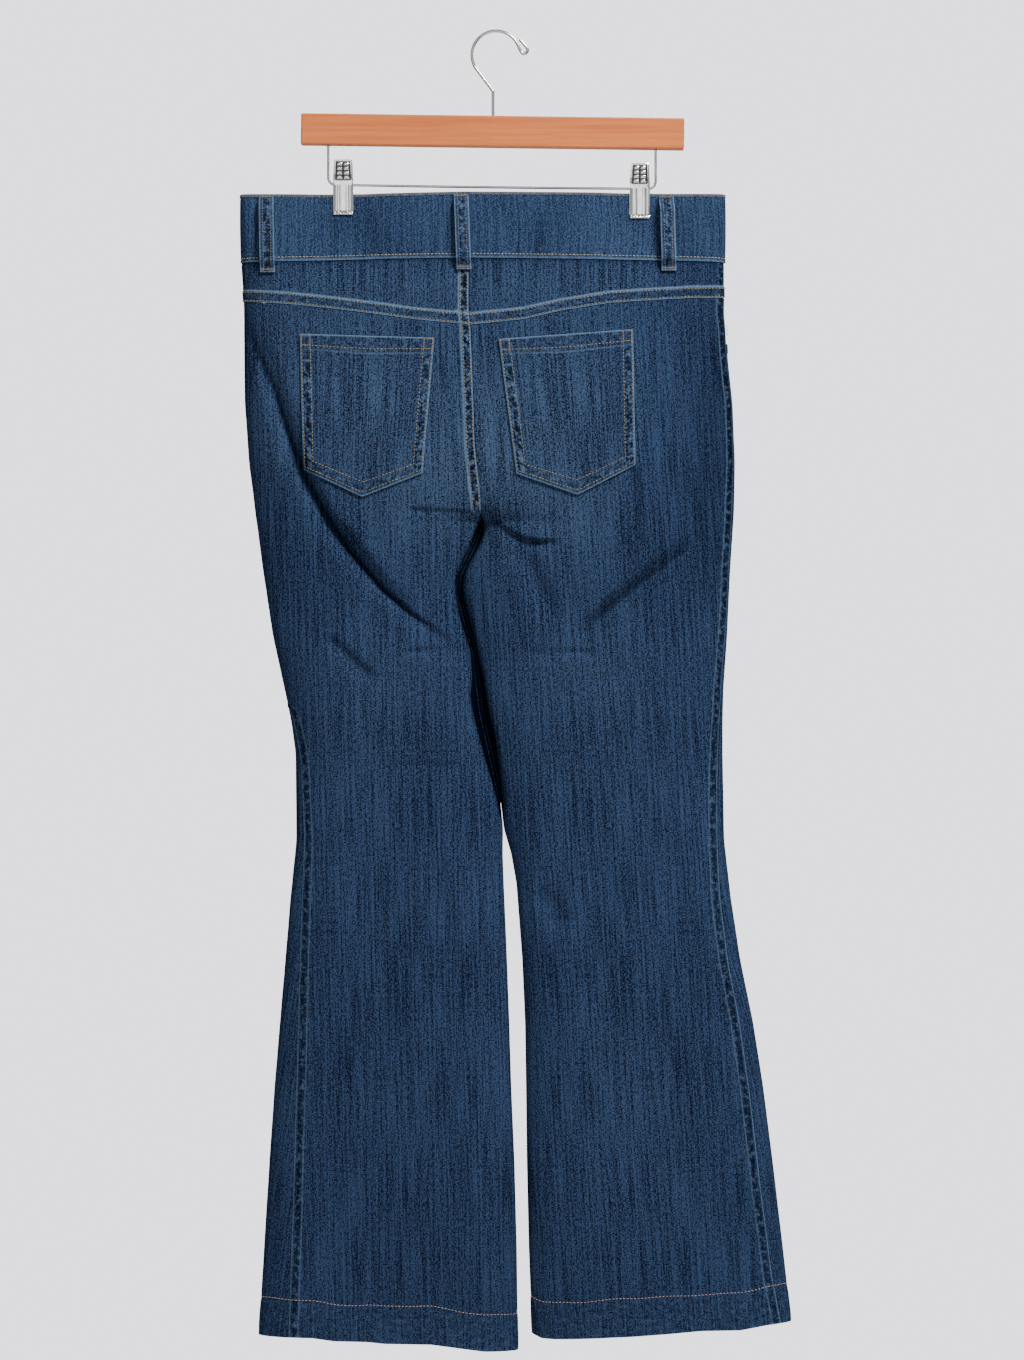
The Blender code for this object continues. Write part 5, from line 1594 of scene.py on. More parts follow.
def make_loop(name, face, top_x, foot_x, top, foot, full_stand, foot_seam):
    """A belt loop, with the grid that its sewing follows."""
    parts, shares = np.array(LOOP_PARTS), np.linspace(0.0, 1.0, LOOP_ROWS)
    crown = 0.35 * (1.0 - (2.0 * parts) ** 6) - 0.2 * hump(np.abs(parts), LOOP_STITCHES, 0.04)
    outer, inner = [], []
    for share in shares:
        drop = top + (foot - top) * share
        middle = top_x + (foot_x - top_x) * share
        height = float(read(LOOP_RISE, 1, share))
        seat = LOOP_SEAT + (foot_seam + 0.2 if share > 0.5 else 0.2)
        stand = BAND_LIFT + seat + (full_stand - seat) * height
        side = "left" if middle < read(CENTRE_SEAM, 1 if face == "back" else 2, drop) else "right"
        half = HALVES[side]
        centre, normal = on_surface(half, drop, arc_of(half, face, middle, drop))
        straight = np.array((0.0, -1.0 if face == "back" else 1.0, 0.0))
        normal = normal + (straight - normal) * height
        across = np.cross(normal, (0.0, 0.0, 1.0))
        across /= np.linalg.norm(across)
        row = centre + np.outer(parts * LOOP_WIDTH, across)
        inner.append(row + normal * stand)
        outer.append(row + normal * (stand + LOOP_WALL) + np.outer(crown, normal))
    outer, inner = np.array(outer), np.array(inner)
    from_edge = np.broadcast_to((0.5 - np.abs(parts)) * LOOP_WIDTH, outer.shape[:2])
    length = (foot - top) * shares[:, None]
    edge = np.minimum(from_edge, np.minimum(length, foot - top - length) + 0.3)
    pucker = 0.8 * ease((from_edge - 2.2) / 1.0)
    place = (parts[None, :] * LOOP_WIDTH + LOOP_CLOTH_SHIFT + top_x, length)
    shell = add_cloth("jeans_belt_loop_" + name, outer, inner, place, edge, pucker, "denim_band")
    return shell, {"parts": parts, "downs": shares, "outer": outer}


LOOP_GRIDS = {}
for row in LOOPS:
    SHELLS["belt_loop_" + row[0]], LOOP_GRIDS[row[0]] = make_loop(*row)
print("loops:", list(LOOP_GRIDS))

# %% [markdown]
# ## Sewing
#
# Sewing repeats along a line, so Geometry Nodes lay it. A line of sewing is a chain of edges
# whose points keep the cloth's normal. The tree turns each chain into a curve, places a point at
# every stitch, and sets a short rounded stitch there, pointing along the line or across it. A
# lockstitch runs along the line; overlocking and bar tacks run across it, closer together.

# %% The sewing tree
STITCH_SEED = 7


def make_sewing_tree():
    """Geometry Nodes that set stitches along every chain of edges."""
    tree, group_input, out = new_group(
        "Sewing",
        [
            ("Lines", "NodeSocketGeometry", None),
            ("Pitch", "NodeSocketFloat", 0.0032),
            ("Length", "NodeSocketFloat", 0.0026),
            ("Thickness", "NodeSocketFloat", 0.0006),
            ("Across", "NodeSocketBool", False),
            ("Unevenness", "NodeSocketFloat", 0.12),
            ("Thread", "NodeSocketMaterial", None),
        ],
        [("Stitches", "NodeSocketGeometry")],
        "GeometryNodeTree",
    )
    given = group_input.outputs
    by_length, vectors = {"mode": "LENGTH"}, {"data_type": "FLOAT_VECTOR"}
    chains = result(tree, "GeometryNodeMeshToCurve", Mesh=given["Lines"])
    points = result(tree, "GeometryNodeResampleCurve", by_length, Curve=chains, Length=given["Pitch"])
    up = result(tree, "GeometryNodeInputNamedAttribute", vectors, Name="up")
    along = result(tree, "GeometryNodeInputTangent")
    aside = result(tree, "ShaderNodeVectorMath", {"operation": "CROSS_PRODUCT"}, i0=up, i1=along)
    choice = {"input_type": "VECTOR"}
    way = result(tree, "GeometryNodeSwitch", choice, Switch=given["Across"], i1=along, i2=aside)
    limits = {"i0": (-1.0, -1.0, -1.0), "i1": (1.0, 1.0, 1.0)}
    random = result(tree, "FunctionNodeRandomValue", vectors, **limits, Seed=STITCH_SEED)
    shift = {"i0": random, "Scale": given["Unevenness"]}
    wobble = result(tree, "ShaderNodeVectorMath", {"operation": "SCALE"}, **shift)
    aim = result(tree, "ShaderNodeVectorMath", {"operation": "ADD"}, i0=way, i1=wobble)
    axes = {"primary_axis": "X", "secondary_axis": "Z"}
    turn = result(tree, "FunctionNodeAxesToRotation", axes, i0=aim, i1=up)
    stitch = result(tree, "GeometryNodeMeshUVSphere", Segments=6, Rings=4, Radius=0.5)
    thick = given["Thickness"]
    size = result(tree, "ShaderNodeCombineXYZ", X=given["Length"], Y=thick, Z=thick)
    placing = {"Points": points, "Instance": stitch, "Rotation": turn, "Scale": size}
    placed = result(tree, "GeometryNodeInstanceOnPoints", **placing)
    real = result(tree, "GeometryNodeRealizeInstances", Geometry=placed)
    smooth = result(tree, "GeometryNodeSetShadeSmooth", Geometry=real)
    dressed = result(tree, "GeometryNodeSetMaterial", Geometry=smooth, Material=given["Thread"])
    tree.links.new(dressed, out.inputs[0])
    return tree


SEWING = make_sewing_tree()
print("tree:", SEWING.name, "with", len(SEWING.nodes), "nodes")

# %% Threads
THREAD_ROUGHNESS = 0.55
THREADS = {
    # name: colour, darker ply colour
    "thread_tan": ((0.225, 0.178, 0.090), (0.075, 0.062, 0.040)),
    "thread_pale": ((0.335, 0.300, 0.235), (0.165, 0.150, 0.125)),
    "thread_orange": ((0.200, 0.118, 0.042), (0.080, 0.048, 0.022)),
    "thread_rose": ((0.330, 0.215, 0.200), (0.150, 0.110, 0.110)),
    "thread_grey": ((0.145, 0.140, 0.130), (0.050, 0.055, 0.060)),
}
PLY_SIZE = 0.0009


def make_thread(name):
    """A twisted polyester thread: a bright colour broken by its darker plies."""
    bright, dim = THREADS[name]
    material, tree, shader = new_material(name)
    noise = stretched_noise(tree, 1.0 / PLY_SIZE, 1.0)
    colour = mix_colour(tree, smooth_range(tree, noise, 0.35, 0.65), dim, bright)
    tree.links.new(colour, shader.inputs["Base Color"])
    shader.inputs["Roughness"].default_value = THREAD_ROUGHNESS
    return material


THREAD = {name: make_thread(name) for name in THREADS}
print("threads:", list(THREAD))

# %% Sewing a set of lines
LINE_STEP = 2.0


def sew(name, lines, thread, pitch, length, thickness, across=False, unevenness=0.12):
    """A piece of stitches along lines of (points, normals) in millimetres."""
    points = np.concatenate([line[0] for line in lines]) * MM
    normals = np.concatenate([line[1] for line in lines])
    ends = set(np.cumsum([len(line[0]) for line in lines]).tolist())
    edges = [(i, i + 1) for i in range(len(points) - 1) if i + 1 not in ends]
    mesh = bpy.data.meshes.new(name + "_lines")
    mesh.from_pydata(points.tolist(), edges, [])
    mesh.attributes.new("up", "FLOAT_VECTOR", "POINT").data.foreach_set("vector", normals.ravel())
    guide = add_object(name + "_lines", mesh)
    sewing = guide.modifiers.new("sewing", "NODES")
    sewing.node_group = SEWING
    values = {
        "Pitch": pitch * MM,
        "Length": length * MM,
        "Thickness": thickness * MM,
        "Across": across,
        "Unevenness": unevenness,
        "Thread": THREAD[thread],
    }
    for item in SEWING.interface.items_tree:
        if item.in_out == "INPUT" and item.name in values:
            sewing[item.identifier] = values[item.name]
    evaluated = guide.evaluated_get(bpy.context.evaluated_depsgraph_get())
    made = bpy.data.meshes.new_from_object(evaluated)
    made.name = name
    bpy.data.objects.remove(guide, do_unlink=True)
    print(name, len(made.polygons), "faces")
    return add_object(name, made)


def cloth_line(side, drops, arcs, lift):
    """A line of sewing on one half of the garment."""
    return on_surface(HALVES[side], drops, arcs, lift)


def on_grid(grid, parts, downs, lift=0.1):
    """A line of sewing on a piece's own grid of points."""
    outer = grid["outer"]
    col = np.interp(parts, grid["parts"], np.arange(len(grid["parts"])))
    row = np.interp(downs, grid["downs"], np.arange(len(grid["downs"])))
    r0 = np.clip(np.floor(row).astype(int), 0, outer.shape[0] - 2)
    c0 = np.clip(np.floor(col).astype(int), 0, outer.shape[1] - 2)
    r, c = (row - r0)[:, None], (col - c0)[:, None]
    corner = [outer[r0 + i, c0 + j] for i in (0, 1) for j in (0, 1)]
    point = (corner[0] * (1 - c) + corner[1] * c) * (1 - r) + (corner[2] * (1 - c) + corner[3] * c) * r
    normal = np.cross(corner[1] - corner[0], corner[2] - corner[0])
    normal /= np.linalg.norm(normal, axis=1, keepdims=True)
    normal *= np.sign(normal[:, 1:2] * outer[..., 1].mean())
    return point + normal * lift, normal


SEWN = {}
print("sewing helpers ready")

# %% Sewing of the waistband, yokes and seat
LOCK = {"pitch": 3.3, "length": 2.8, "thickness": 0.8}
OVERLOCK = {"pitch": 0.95, "length": 3.6, "thickness": 0.6, "across": True, "unevenness": 0.3}
OVERLOCK_DROP = 1.75


def band_lines(from_low, from_top, lift):
    """Lines along both halves of the waistband, measured from its lower edge or from its top."""
    lines = []
    for side, half in HALVES.items():
        arcs = np.arange(1.0, float(at_level(half["length"], WAIST_SEAM)) - 1.0, LINE_STEP)
        across = across_at(half, WAIST_SEAM, arcs)
        drops = waist_drop(across) - from_low if from_low else read(WAIST_LINE, 1, across) + from_top
        lines.append(cloth_line(side, drops, arcs, lift))
    return lines


def yoke_lines(side):
    """The two rows of a yoke's felled edge."""
    half = HALVES[side]
    end = float(at_level(half["seam"], YOKE_SEAM)) - 1.0
    arcs = np.arange(1.0, end, LINE_STEP)
    return [cloth_line(side, yoke_drops(side, arcs) - row, arcs, FELL_RISE + 0.05) for row in YOKE_ROWS]


def centre_back_lines():
    """The two rows of the felled centre back seam."""
    drops = np.arange(WAIST_SEAM + 1.0, CROTCH - SEAM_ENDS, LINE_STEP)
    height = FELL_RISE * ease((FELL_END - drops) / FELL_FADE) + 0.1
    return [cloth_line("left", drops, np.full(len(drops), row), height) for row in STITCH_ROWS]


binding = band_lines(None, OVERLOCK_DROP, BAND_LIFT + 0.12)
SEWN["waistband"] = [
    sew("sewing_waistband", band_lines(BAND_ROW, None, BAND_LIFT + 0.15), "thread_pale", **LOCK),
    sew("overlock_waistband", binding, "thread_grey", **OVERLOCK),
]
for side in SIDES:
    SEWN["yoke_" + side] = [sew("sewing_yoke_" + side, yoke_lines(side), "thread_tan", **LOCK)]
SEWN["back_left"] = [sew("sewing_centre_back", centre_back_lines(), "thread_tan", **LOCK)]

# %% Sewing of the pockets and loops
BAR_TACK = {"pitch": 0.55, "thickness": 0.5, "across": True, "unevenness": 0.15}


def pocket_lines(side, inset):
    """A row of sewing down one side of a pocket, round its point and up the other side."""
    downs = np.arange(2.0, POCKET_SIDE - inset / POCKET_SLOPE, LINE_STEP)
    left = -0.5 + inset / pocket_width(downs)
    across = np.linspace(left[-1], -left[-1], 60)
    parts = np.concatenate([left, across, -left[::-1]])
    return on_grid(POCKET_GRIDS[side], parts, np.concatenate([downs, np.full(60, downs[-1]), downs[::-1]]))


def pocket_hem_line(side):
    """The row that holds a pocket's hemmed mouth."""
    end = 0.5 - POCKET_ROWS[0] / POCKET_MOUTH
    return on_grid(POCKET_GRIDS[side], np.linspace(-end, end, 64), np.full(64, POCKET_HEM_ROW))


def pocket_tacks(side):
    """Bar tacks that box each end of a pocket's mouth."""
    grid, lines = POCKET_GRIDS[side], []
    for end in (-1, 1):
        near, far = (end * (0.5 - step / POCKET_MOUTH) for step in (1.6, 9.2))
        lines += [on_grid(grid, np.full(6, part), np.linspace(1.2, 10.4, 6)) for part in (near, far)]
        for down in (1.3, POCKET_HEM_ROW):
            lines.append(on_grid(grid, np.linspace(near, far, 6), np.full(6, down)))
    return lines


for side in SIDES:
    rows = [pocket_lines(side, inset) for inset in POCKET_ROWS] + [pocket_hem_line(side)]
    SEWN["back_pocket_" + side] = [
        sew("sewing_back_pocket_" + side, rows, "thread_tan", **LOCK),
        sew("tacks_back_pocket_" + side, pocket_tacks(side), "thread_orange", length=1.3, **BAR_TACK),
    ]

for name, grid in LOOP_GRIDS.items():
    downs = np.linspace(0.015, 0.985, 40)
    rows = [on_grid(grid, np.full(40, part), downs) for part in (-LOOP_STITCHES, LOOP_STITCHES)]
    ends = [on_grid(grid, np.linspace(-0.4, 0.4, 8), np.full(8, down)) for down in (0.022, 0.965)]
    SEWN["belt_loop_" + name] = [
        sew("sewing_belt_loop_" + name, rows, "thread_tan", pitch=2.6, length=2.0, thickness=0.55),
        sew("tacks_belt_loop_" + name, ends, "thread_orange", length=1.8, **BAR_TACK),
    ]

# %% Sewing of the hems and fronts


def hem_lines(side):
    """The row that holds a leg's hem, all round."""
    half = HALVES[side]
    level = HEM_EDGE - HEM_DEPTH
    arcs = np.arange(1.0, float(at_level(half["length"], level)) - 1.0, LINE_STEP)
    across = across_at(half, level, arcs)
    waver = 0.9 * np.sin(arcs / 21.0) + 0.5 * np.sin(arcs / 8.3 + 1.0)
    return cloth_line(side, hem_drop(across) - HEM_DEPTH + waver, arcs, 0.0)


def front_lines(side):
    """The rows round a front pocket's mouth, and beside the centre front seam."""
    half = HALVES[side]
    first = front_arcs(half, WAIST_SEAM)
    waist = waist_drop(across_at(half, WAIST_SEAM, first))
    lines = []
    for row in SCOOP_ROWS:
        turn = np.linspace(0.02, math.pi / 2 - 0.02, 60)
        off = (SCOOP_WIDTH + row) * np.sin(turn)
        drops = np.interp(off, first - first[0], waist) + (SCOOP_DROP + row) * np.cos(turn)
        arcs = at_level(half["seam"], drops) + SIDE_GAP / 2.0 + off
        lines.append(cloth_line(side, drops, arcs, 0.5))
    drops = np.arange(WAIST_SEAM + 1.0, CROTCH - FRONT_SEAM_ENDS - 2.0, LINE_STEP)
    end = at_level(half["length"], drops)
    for inset in (1.8, 7.6) if side == "left" else (1.8,):
        lines.append(cloth_line(side, drops, end - inset, 0.55))
    return lines


def front_tack(side):
    """The bar tack that holds a front pocket's mouth at the side seam."""
    half = HALVES[side]
    drop = WAIST_SEAM + SCOOP_DROP - 16.0
    drops = np.linspace(drop, drop + 9.0, 6)
    return cloth_line(side, drops, at_level(half["seam"], drops) + 2.2, 0.6)


for side in SIDES:
    SEWN["front_" + side] = [
        sew("sewing_front_" + side, front_lines(side), "thread_tan", **LOCK),
        sew("tack_front_" + side, [front_tack(side)], "thread_orange", length=2.4, **BAR_TACK),
        sew("sewing_hem_" + side, [hem_lines(side)], "thread_rose", **LOCK),
    ]

# %% [markdown]
# ## Metal
#
# The hook, wire, clips and springs are bright plated steel. Plating is a mirror with a faint
# unevenness, and handling leaves fine scratches, so roughness varies with a stretched noise.

# %% Metal and wood groups and materials
# Painted shade laid in the pressed hollows of the clips.
RECESS_SHADE_COLOUR = (0.045, 0.038, 0.034)
WOOD_MARKS = {
    # how often they come along, across and up, per metre
    "grain": (9.0, 260.0, 260.0),
    "fleck": (55.0, 1500.0, 900.0),
    "board": (2.2, 30.0, 30.0),
    "scratch": (60.0, 700.0, 700.0),
}
WOOD_COAT, WOOD_COAT_ROUGHNESS = 0.05, 0.25
SCRATCH_BUMP, GRAIN_BUMP = 0.00004, 0.00012
WOOD_DARK, WOOD_LIGHT = (0.36, 0.070, 0.004), (0.460, 0.110, 0.010)
WOOD_BOARD, WOOD_FLECK = (0.490, 0.128, 0.015), (0.200, 0.050, 0.008)


def make_scratch_group():
    """Fine marks of handling on any hard finish, from a place in metres."""
    group, given, out = new_group(
        "Handling marks",
        [("Place", "NodeSocketVector", None), ("Along", "NodeSocketVector", (900.0, 900.0, 90.0))],
        [("Marks", "NodeSocketFloat"), ("Height", "NodeSocketFloat")],
    )
    place = stretched(group, given.outputs["Place"], given.outputs["Along"])
    noise = result(group, "ShaderNodeTexNoise", Vector=place, Scale=1.0, Detail=3.0)
    group.links.new(smooth_range(group, noise, 0.42, 0.78), out.inputs["Marks"])
    group.links.new(noise, out.inputs["Height"])
    return group


def finish_hard(tree, shader, colour, marks, smooth, worn, height, distance):
    """Feed a hard finish: its colour, a roughness between two by its marks, and its bump."""
    tree.links.new(colour, shader.inputs["Base Color"])
    tree.links.new(smooth_range(tree, marks, 0.0, 1.0, smooth, worn), shader.inputs["Roughness"])
    tree.links.new(bump(tree, height, distance), shader.inputs["Normal"])


def make_chrome(name, bright, dull):
    """Plated steel, with painted shade in the pressed hollows that a piece marks."""
    material, tree, shader = new_material(name)
    marks = put(tree, "ShaderNodeGroup", {"node_tree": SCRATCHES}, Place=own_place(tree)).outputs
    colour = mix_colour(tree, marks["Marks"], bright, dull)
    colour = mix_colour(tree, attribute(tree, "painted_recess_shade"), colour, RECESS_SHADE_COLOUR)
    shader.inputs["Metallic"].default_value = 1.0
    finish_hard(tree, shader, colour, marks["Marks"], 0.10, 0.30, marks["Height"], SCRATCH_BUMP)
    return material


def make_wood():
    """Varnished beech: warm brown with fine grain and short dark flecks along the bar."""
    material, tree, shader = new_material("varnished_beech")
    grain, fleck, board = (
        stretched_noise(tree, 1.0, 4.0, WOOD_MARKS[title]) for title in ("grain", "fleck", "board")
    )
    scratches = {"Place": own_place(tree), "Along": WOOD_MARKS["scratch"]}
    marks = put(tree, "ShaderNodeGroup", {"node_tree": SCRATCHES}, **scratches).outputs["Marks"]
    colour = mix_colour(tree, smooth_range(tree, grain, 0.3, 0.7), WOOD_DARK, WOOD_LIGHT)
    colour = mix_colour(tree, smooth_range(tree, board, 0.35, 0.7, 0.0, 0.5), colour, WOOD_BOARD)
    colour = mix_colour(tree, smooth_range(tree, fleck, 0.60, 0.72, 0.0, 0.45), colour, WOOD_FLECK)
    shader.inputs["Coat Weight"].default_value = WOOD_COAT
    shader.inputs["Coat Roughness"].default_value = WOOD_COAT_ROUGHNESS
    finish_hard(tree, shader, colour, marks, 0.38, 0.55, grain, GRAIN_BUMP)
    return material


SCRATCHES = make_scratch_group()
CHROME = make_chrome("bright_plate", (0.80, 0.80, 0.79), (0.60, 0.59, 0.57))
WIRE_CHROME = make_chrome("plated_wire", (0.50, 0.48, 0.46), (0.34, 0.32, 0.30))
BEECH = make_wood()
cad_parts["hanger_bar"].material_slots[0].material = BEECH
print("hard finishes:", CHROME.name, BEECH.name)

# %% [markdown]
# ## Wire
#
# The hook and the clip wire are round wire swept along a route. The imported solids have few
# sides, so the same routes are swept here with more sides and a smooth line between the points.

# %% Sweeping wire
WIRE_SIDES = 18


def smooth_route(points, between_points):
    """A rounder line through the same points, by Catmull and Rom's rule."""
    points = np.array(points, float)
    padded = np.concatenate([[2 * points[0] - points[1]], points, [2 * points[-1] - points[-2]]])
    made = []
    for a, b, c, d in zip(padded, padded[1:], padded[2:], padded[3:]):
        for t in np.linspace(0.0, 1.0, between_points, endpoint=False):
            square = 2 * a - 5 * b + 4 * c - d
            cube = 3 * b - a - 3 * c + d
            made.append(0.5 * (2 * b + (c - a) * t + square * t**2 + cube * t**3))
    made.append(padded[-2])
    return np.array(made)


def add_wire(name, route, diameter, material, sides=WIRE_SIDES):
    """A round wire along points in millimetres, with rounded ends."""
    along = np.gradient(route, axis=0)
    along /= np.linalg.norm(along, axis=1, keepdims=True)
    normal = np.cross(along[0], (0.31, 0.95, 0.05))
    rings, radius = [], diameter / 2.0
    turns = np.linspace(0.0, 2.0 * math.pi, sides, endpoint=False)
    caps = [(radius * (s - 1.0), math.sqrt(1 - (1 - s) ** 2)) for s in (0.25, 0.6, 0.85, 0.97)]
    stops = [(0, ahead, share) for ahead, share in caps]
    stops += [(i, 0.0, 1.0) for i in range(len(route))]
    stops += [(len(route) - 1, -ahead, share) for ahead, share in caps[::-1]]
    for index, ahead, share in stops:
        tangent = along[index]
        normal = normal - tangent * normal.dot(tangent)
        normal /= np.linalg.norm(normal)
        other = np.cross(tangent, normal)
        centre = route[index] + tangent * ahead
        circle = np.outer(np.cos(turns), normal) + np.outer(np.sin(turns), other)
        rings.append(centre + circle * radius * share)
    rings = np.array(rings)
    index = np.arange(rings.shape[0] * sides).reshape(-1, sides)
    far = np.roll(index, -1, axis=1)
    faces = np.stack([index[:-1], far[:-1], far[1:], index[1:]], axis=-1).reshape(-1, 4)
    tips = []
    for ring, step in ((index[0], -1), (index[-1], 1)):
        for i in range(sides // 2 - 1):
            tips.append((ring[i], ring[i + 1], ring[sides - 2 - i], ring[sides - 1 - i])[::step])
    faces = np.concatenate([faces, np.array(tips)])
    return add_mesh(name, rings.reshape(-1, 3), faces, material)


print("wire sweeper ready")

# %% The hook
BAR_CENTRE = (-3.2, 92.4)
BAR_SIZE = (356.0, 12.0, 29.0)
BAR_TILT = 0.75
HOOK_WIRE = 3.0
HOOK_BEND = 22.4
HOOK_TURN = (38, 214)
HOOK_POINTS = 18
HOOK_STEM = (
    # across, drop: from the bend's end into the stem
    (-4.0, 52.9),
    (-2.8, 56.1),
    (-2.8, 66.0),
    (-2.8, 76.0),
    (-2.8, 89.9),
)
HOOK_TIP = (
    # across, drop: from the turned-back tip round to the hook's bend
    (22.6, 7.2),
    (25.4, 10.3),
    (28.2, 13.6),
    (29.3, 16.4),
    (28.2, 18.9),
    (25.9, 19.8),
    (23.7, 18.6),
    (22.3, 15.9),
    (20.2, 11.4),
)


def arc_points(centre, radius, start, end, count):
    """Points of an arc in the XZ plane, angles in degrees."""
    angles = np.radians(np.linspace(start, end, count))
    return [(centre[0] + radius * math.cos(a), 0.0, centre[1] + radius * math.sin(a)) for a in angles]


def make_hook():
    """The hanger's hook: turned-back tip, round bend and stem."""
    centre = (0.0, HOOK_WIRE / 2.0 - HOOK_BEND)
    bend = arc_points(centre, HOOK_BEND, *HOOK_TURN, HOOK_POINTS)
    tip = [(x, 0.0, -drop) for x, drop in HOOK_TIP]
    stem = [(x, 0.0, -drop) for x, drop in HOOK_STEM]
    return add_wire("hanger_hook_wire", smooth_route(tip + bend + stem, 5), HOOK_WIRE, WIRE_CHROME)


HARD = {"hanger_hook": make_hook()}
print("hook faces:", len(HARD["hanger_hook"].data.polygons))

# %% The clip wire
CLIP_WIRE = 2.5
CLIP_WIRE_LEGS = (-155.9, 148.3)
CLIP_WIRE_LOW = (141.6, 145.2)
WIRE_SEAT_DEPTH = 11.0
WIRE_CORNER = 7.0
WIRE_SAG = 1.44
CORNER_POINTS = 9


def make_clip_wire():
    """The wire that carries the clips: down one leg, across under the bar and up the other."""
    left, right = CLIP_WIRE_LEGS
    low_left, low_right = CLIP_WIRE_LOW
    tilt = math.tan(math.radians(BAR_TILT))
    bar_low = BAR_CENTRE[1] + BAR_SIZE[2] / 2.0 - WIRE_SEAT_DEPTH
    tops = [bar_low + (leg - BAR_CENTRE[0]) * tilt for leg in CLIP_WIRE_LEGS]
    reach = WIRE_CORNER
    route = [(left, 0.0, -z) for z in np.linspace(tops[0], low_left - reach, 5)[:-1]]
    route += arc_points((left + reach, -low_left + reach), reach, 180, 270, CORNER_POINTS)
    for share in np.linspace(0.08, 0.92, 9):
        x = left + reach + (right - left - 2 * reach) * share
        z = low_left + (low_right - low_left) * share
        route.append((x, 0.0, -z - WIRE_SAG * share * (1.0 - share)))
    route += arc_points((right - reach, -low_right + reach), reach, 270, 360, CORNER_POINTS)
    route += [(right, 0.0, -z) for z in np.linspace(low_right - reach, tops[1], 5)[1:]]
    return add_wire("clip_wire_bent", smooth_route(route, 4), CLIP_WIRE, WIRE_CHROME)


HARD["clip_wire"] = make_clip_wire()
print("wire faces:", len(HARD["clip_wire"].data.polygons))

# %% [markdown]
# ## Clips
#
# Each clip has two pressed jaws on the wire and a coiled spring between them. The finger end of
# a jaw is framed by a rim and carries four rows of two pressed bumps. Below the wire the plate is
# smooth with lengthwise flutes, and its lip has small teeth that grip the cloth.

# %% The clip jaws
CLIP_METAL = 0.9
CLIP_PROFILE = (
    # below the wire, out from the middle plane, half-width, flange
    (-22.4, 9.2, 8.2, 0.9),
    (-17.0, 8.6, 8.6, 1.0),
    (-9.0, 6.6, 9.0, 1.2),
    (-4.0, 4.9, 9.4, 2.0),
    (0.0, 4.2, 9.4, 2.2),
    (6.0, 3.8, 9.4, 1.2),
    (14.0, 3.7, 9.4, 0.6),
    (24.0, 3.6, 9.4, 0.5),
    (28.0, 4.2, 8.6, 0.4),
)
CLIP_TOP, CLIP_END = CLIP_PROFILE[0][0], CLIP_PROFILE[-1][0]
JAW_ROWS = 84
JAW_PARTS = (-1.0, -1.0, -0.985, *np.linspace(-0.95, 0.95, 37), 0.985, 1.0, 1.0)
JAW_INSIDE = 2.2
JAW_SHARP = 35.0
BUMP_ROWS = (-18.6, -14.6, -10.6, -6.6)
BUMP_COLUMNS = (-0.36, 0.36)
BUMP_SIZE = (1.15, 0.27)
BUMP_RISE = 0.75
FRAME_SINK = 0.45
FLUTE_RISE = 0.45
TEETH_RISE = 0.4
TEETH_PITCH = 19.0
CLIP_CROWN = 0.5


def jaw_relief(below, across):
    """Pressed form of a jaw, and the painted shade of its hollows. Above the wire it has bumps in a
    frame, and below it flutes and teeth."""
    side = np.abs(across)
    bumps = np.zeros(np.broadcast(below, across).shape)
    for row in BUMP_ROWS:
        for column in BUMP_COLUMNS:
            down = (below - row - 2.0 * np.abs(across - column)) / BUMP_SIZE[0]
            bumps += np.exp(-(down**4)) * np.exp(-(((across - column) / BUMP_SIZE[1]) ** 6))
    sunk = ease((-3.2 - below) / 1.0) * ease((0.82 - side) / 0.08) * ease((below + 21.2) / 0.8)
    plate = between(below, -1.0, 26.4, 2.0, 1.5)
    relief = BUMP_RISE * bumps - FRAME_SINK * sunk
    relief += FLUTE_RISE * plate * (hump(side, 0.84, 0.07) + 0.7 * hump(side, 0.45, 0.10))
    relief += TEETH_RISE * ease((below - 25.8) / 0.8) * (0.5 + 0.5 * np.cos(across * TEETH_PITCH))
    # Painted shade: the sunk frame round the bumps and the valleys between the flutes are darkened.
    recess_shade = sunk * np.clip(1.0 - 1.3 * bumps, 0.0, 1.0)
    recess_shade += 0.6 * plate * (hump(side, 0.68, 0.05) + hump(side, 0.25, 0.05))
    return relief, np.clip(recess_shade, 0.0, 1.0)


def make_jaw(name, across, wire_drop, face):
    """One pressed-metal jaw."""
    sign = -1.0 if face == "back" else 1.0
    ends = (0.0, 0.35, 0.9)
    below = spread(CLIP_TOP, CLIP_END, ends, ends, JAW_ROWS)[:, None]
    parts = np.array(JAW_PARTS)[None, :]
    out, half_width, flange = (read(CLIP_PROFILE, index, below) for index in (1, 2, 3))
    crowned = out + CLIP_CROWN * (1.0 - np.abs(parts) ** 4)
    relief, recess_shade = jaw_relief(below, parts)
    drawn, thin = crowned + relief, crowned - CLIP_METAL
    for form in (drawn, thin):
        form[:, 0] = form[:, -1] = (out - flange)[:, 0]
    drawn -= 0.3 * np.exp(-np.minimum(below - CLIP_TOP, CLIP_END - below) / 0.4)
    x = across + half_width * parts
    inner_x = across + (half_width - CLIP_METAL) * parts
    z = np.broadcast_to(-(wire_drop + below), x.shape)
    outer = np.stack([x, sign * drawn, z], axis=-1)
    inner = np.stack([inner_x, sign * np.maximum(thin, JAW_INSIDE), z], axis=-1)
    points = np.concatenate([outer.reshape(-1, 3), inner.reshape(-1, 3)])
    jaw = add_mesh(name, points, wall_faces(*x.shape, False), CHROME, JAW_SHARP)
    set_values(jaw, "painted_recess_shade", np.concatenate([recess_shade.ravel(), np.zeros(recess_shade.size)]))
    return jaw


print("clip rows:", JAW_ROWS)

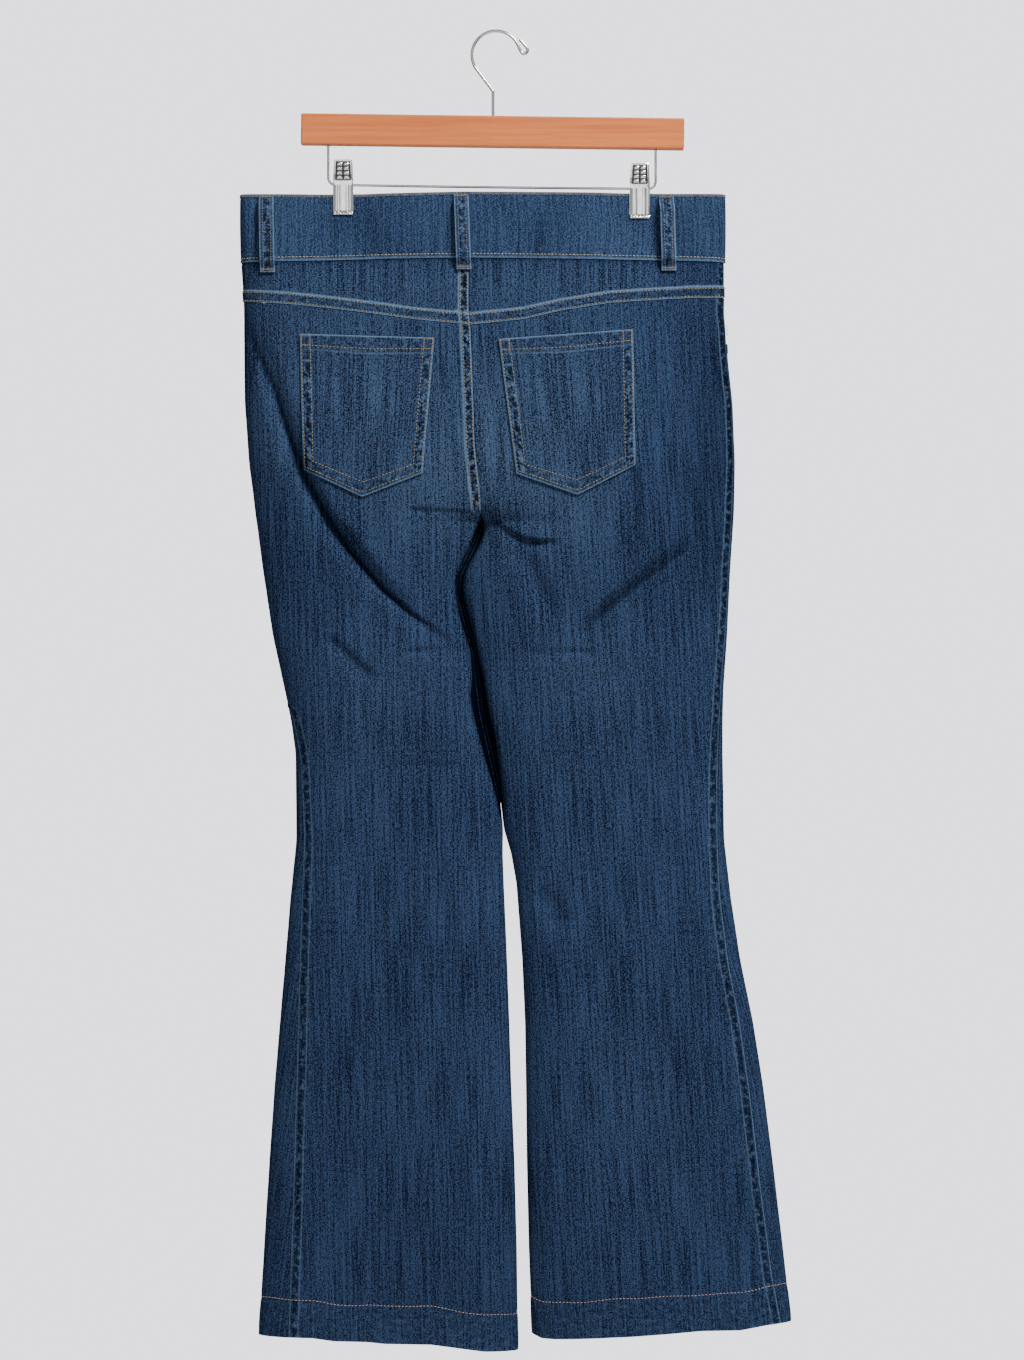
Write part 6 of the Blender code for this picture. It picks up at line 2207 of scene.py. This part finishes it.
# %% The springs, and both clips
SPRING_TURNS = 7
SPRING_WIRE = 1.15
SPRING_RADIUS = 2.3
SPRING_LENGTH = 8.6
SPRING_SIDES = 8


def make_spring(name, across, wire_drop):
    """A coiled spring round the clip wire."""
    turns = np.linspace(0.0, SPRING_TURNS * 2.0 * math.pi, SPRING_TURNS * 20)
    x = across + SPRING_LENGTH * (turns / turns[-1] - 0.5)
    z = SPRING_RADIUS * np.sin(turns) - wire_drop
    route = np.stack([x, SPRING_RADIUS * np.cos(turns), z], axis=-1)
    return add_wire(name, route, SPRING_WIRE, CHROME, SPRING_SIDES)


for name, across in CLIPS:
    ends = [leg + reach for leg, reach in zip(CLIP_WIRE_LEGS, (WIRE_CORNER, -WIRE_CORNER))]
    wire_drop = float(np.interp(across, ends, CLIP_WIRE_LOW))
    for face in ("back", "front"):
        HARD[name + "_jaw_" + face] = make_jaw(name + "_pressed_jaw_" + face, across, wire_drop, face)
    HARD[name + "_spring"] = make_spring(name + "_coil", across, wire_drop)
print("metal pieces:", list(HARD))

# %% [markdown]
# ## Joining the pieces to the imported model
#
# Every shell stands for its imported solid and rides on the one body. The size of each cloth
# piece's cut is measured and printed: its width and length where it lies on the flat cloth, and
# its area, all measured along the cloth.


def area_of(obj):
    """Flat area in square metres of a cloth wall's outer face."""
    mesh = obj.data
    points = np.zeros(len(mesh.vertices) * 3)
    mesh.vertices.foreach_get("co", points)
    points = points.reshape(-1, 3)
    corners = np.zeros(len(mesh.loops), dtype=np.int32)
    mesh.loops.foreach_get("vertex_index", corners)
    faces = corners.reshape(-1, 4)
    faces = faces[(faces < len(points) // 2).all(axis=1)]
    a, b, c, d = (points[faces[:, i]] for i in range(4))
    return float(0.5 * np.linalg.norm(np.cross(c - a, d - b), axis=1).sum())


def span_of(obj):
    """Width and length in metres of a piece's cut, from its place on the flat cloth."""
    place = np.zeros(len(obj.data.loops) * 2)
    obj.data.uv_layers["cloth"].data.foreach_get("uv", place)
    place = place.reshape(-1, 2)
    return [float(value) for value in place.max(axis=0) - place.min(axis=0)]


for node, obj in SHELLS.items():
    stitches = SEWN.get(node, [])
    for piece in (obj, *stitches):
        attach(piece, "root")
    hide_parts(node)
    width, length = span_of(obj)
    area = min(area_of(obj), width * length)
    print(node, "cut", round(width / MM), "x", round(length / MM), "mm,", round(area, 4), "m2")

for node, obj in HARD.items():
    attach(obj, "root")
    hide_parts(node)
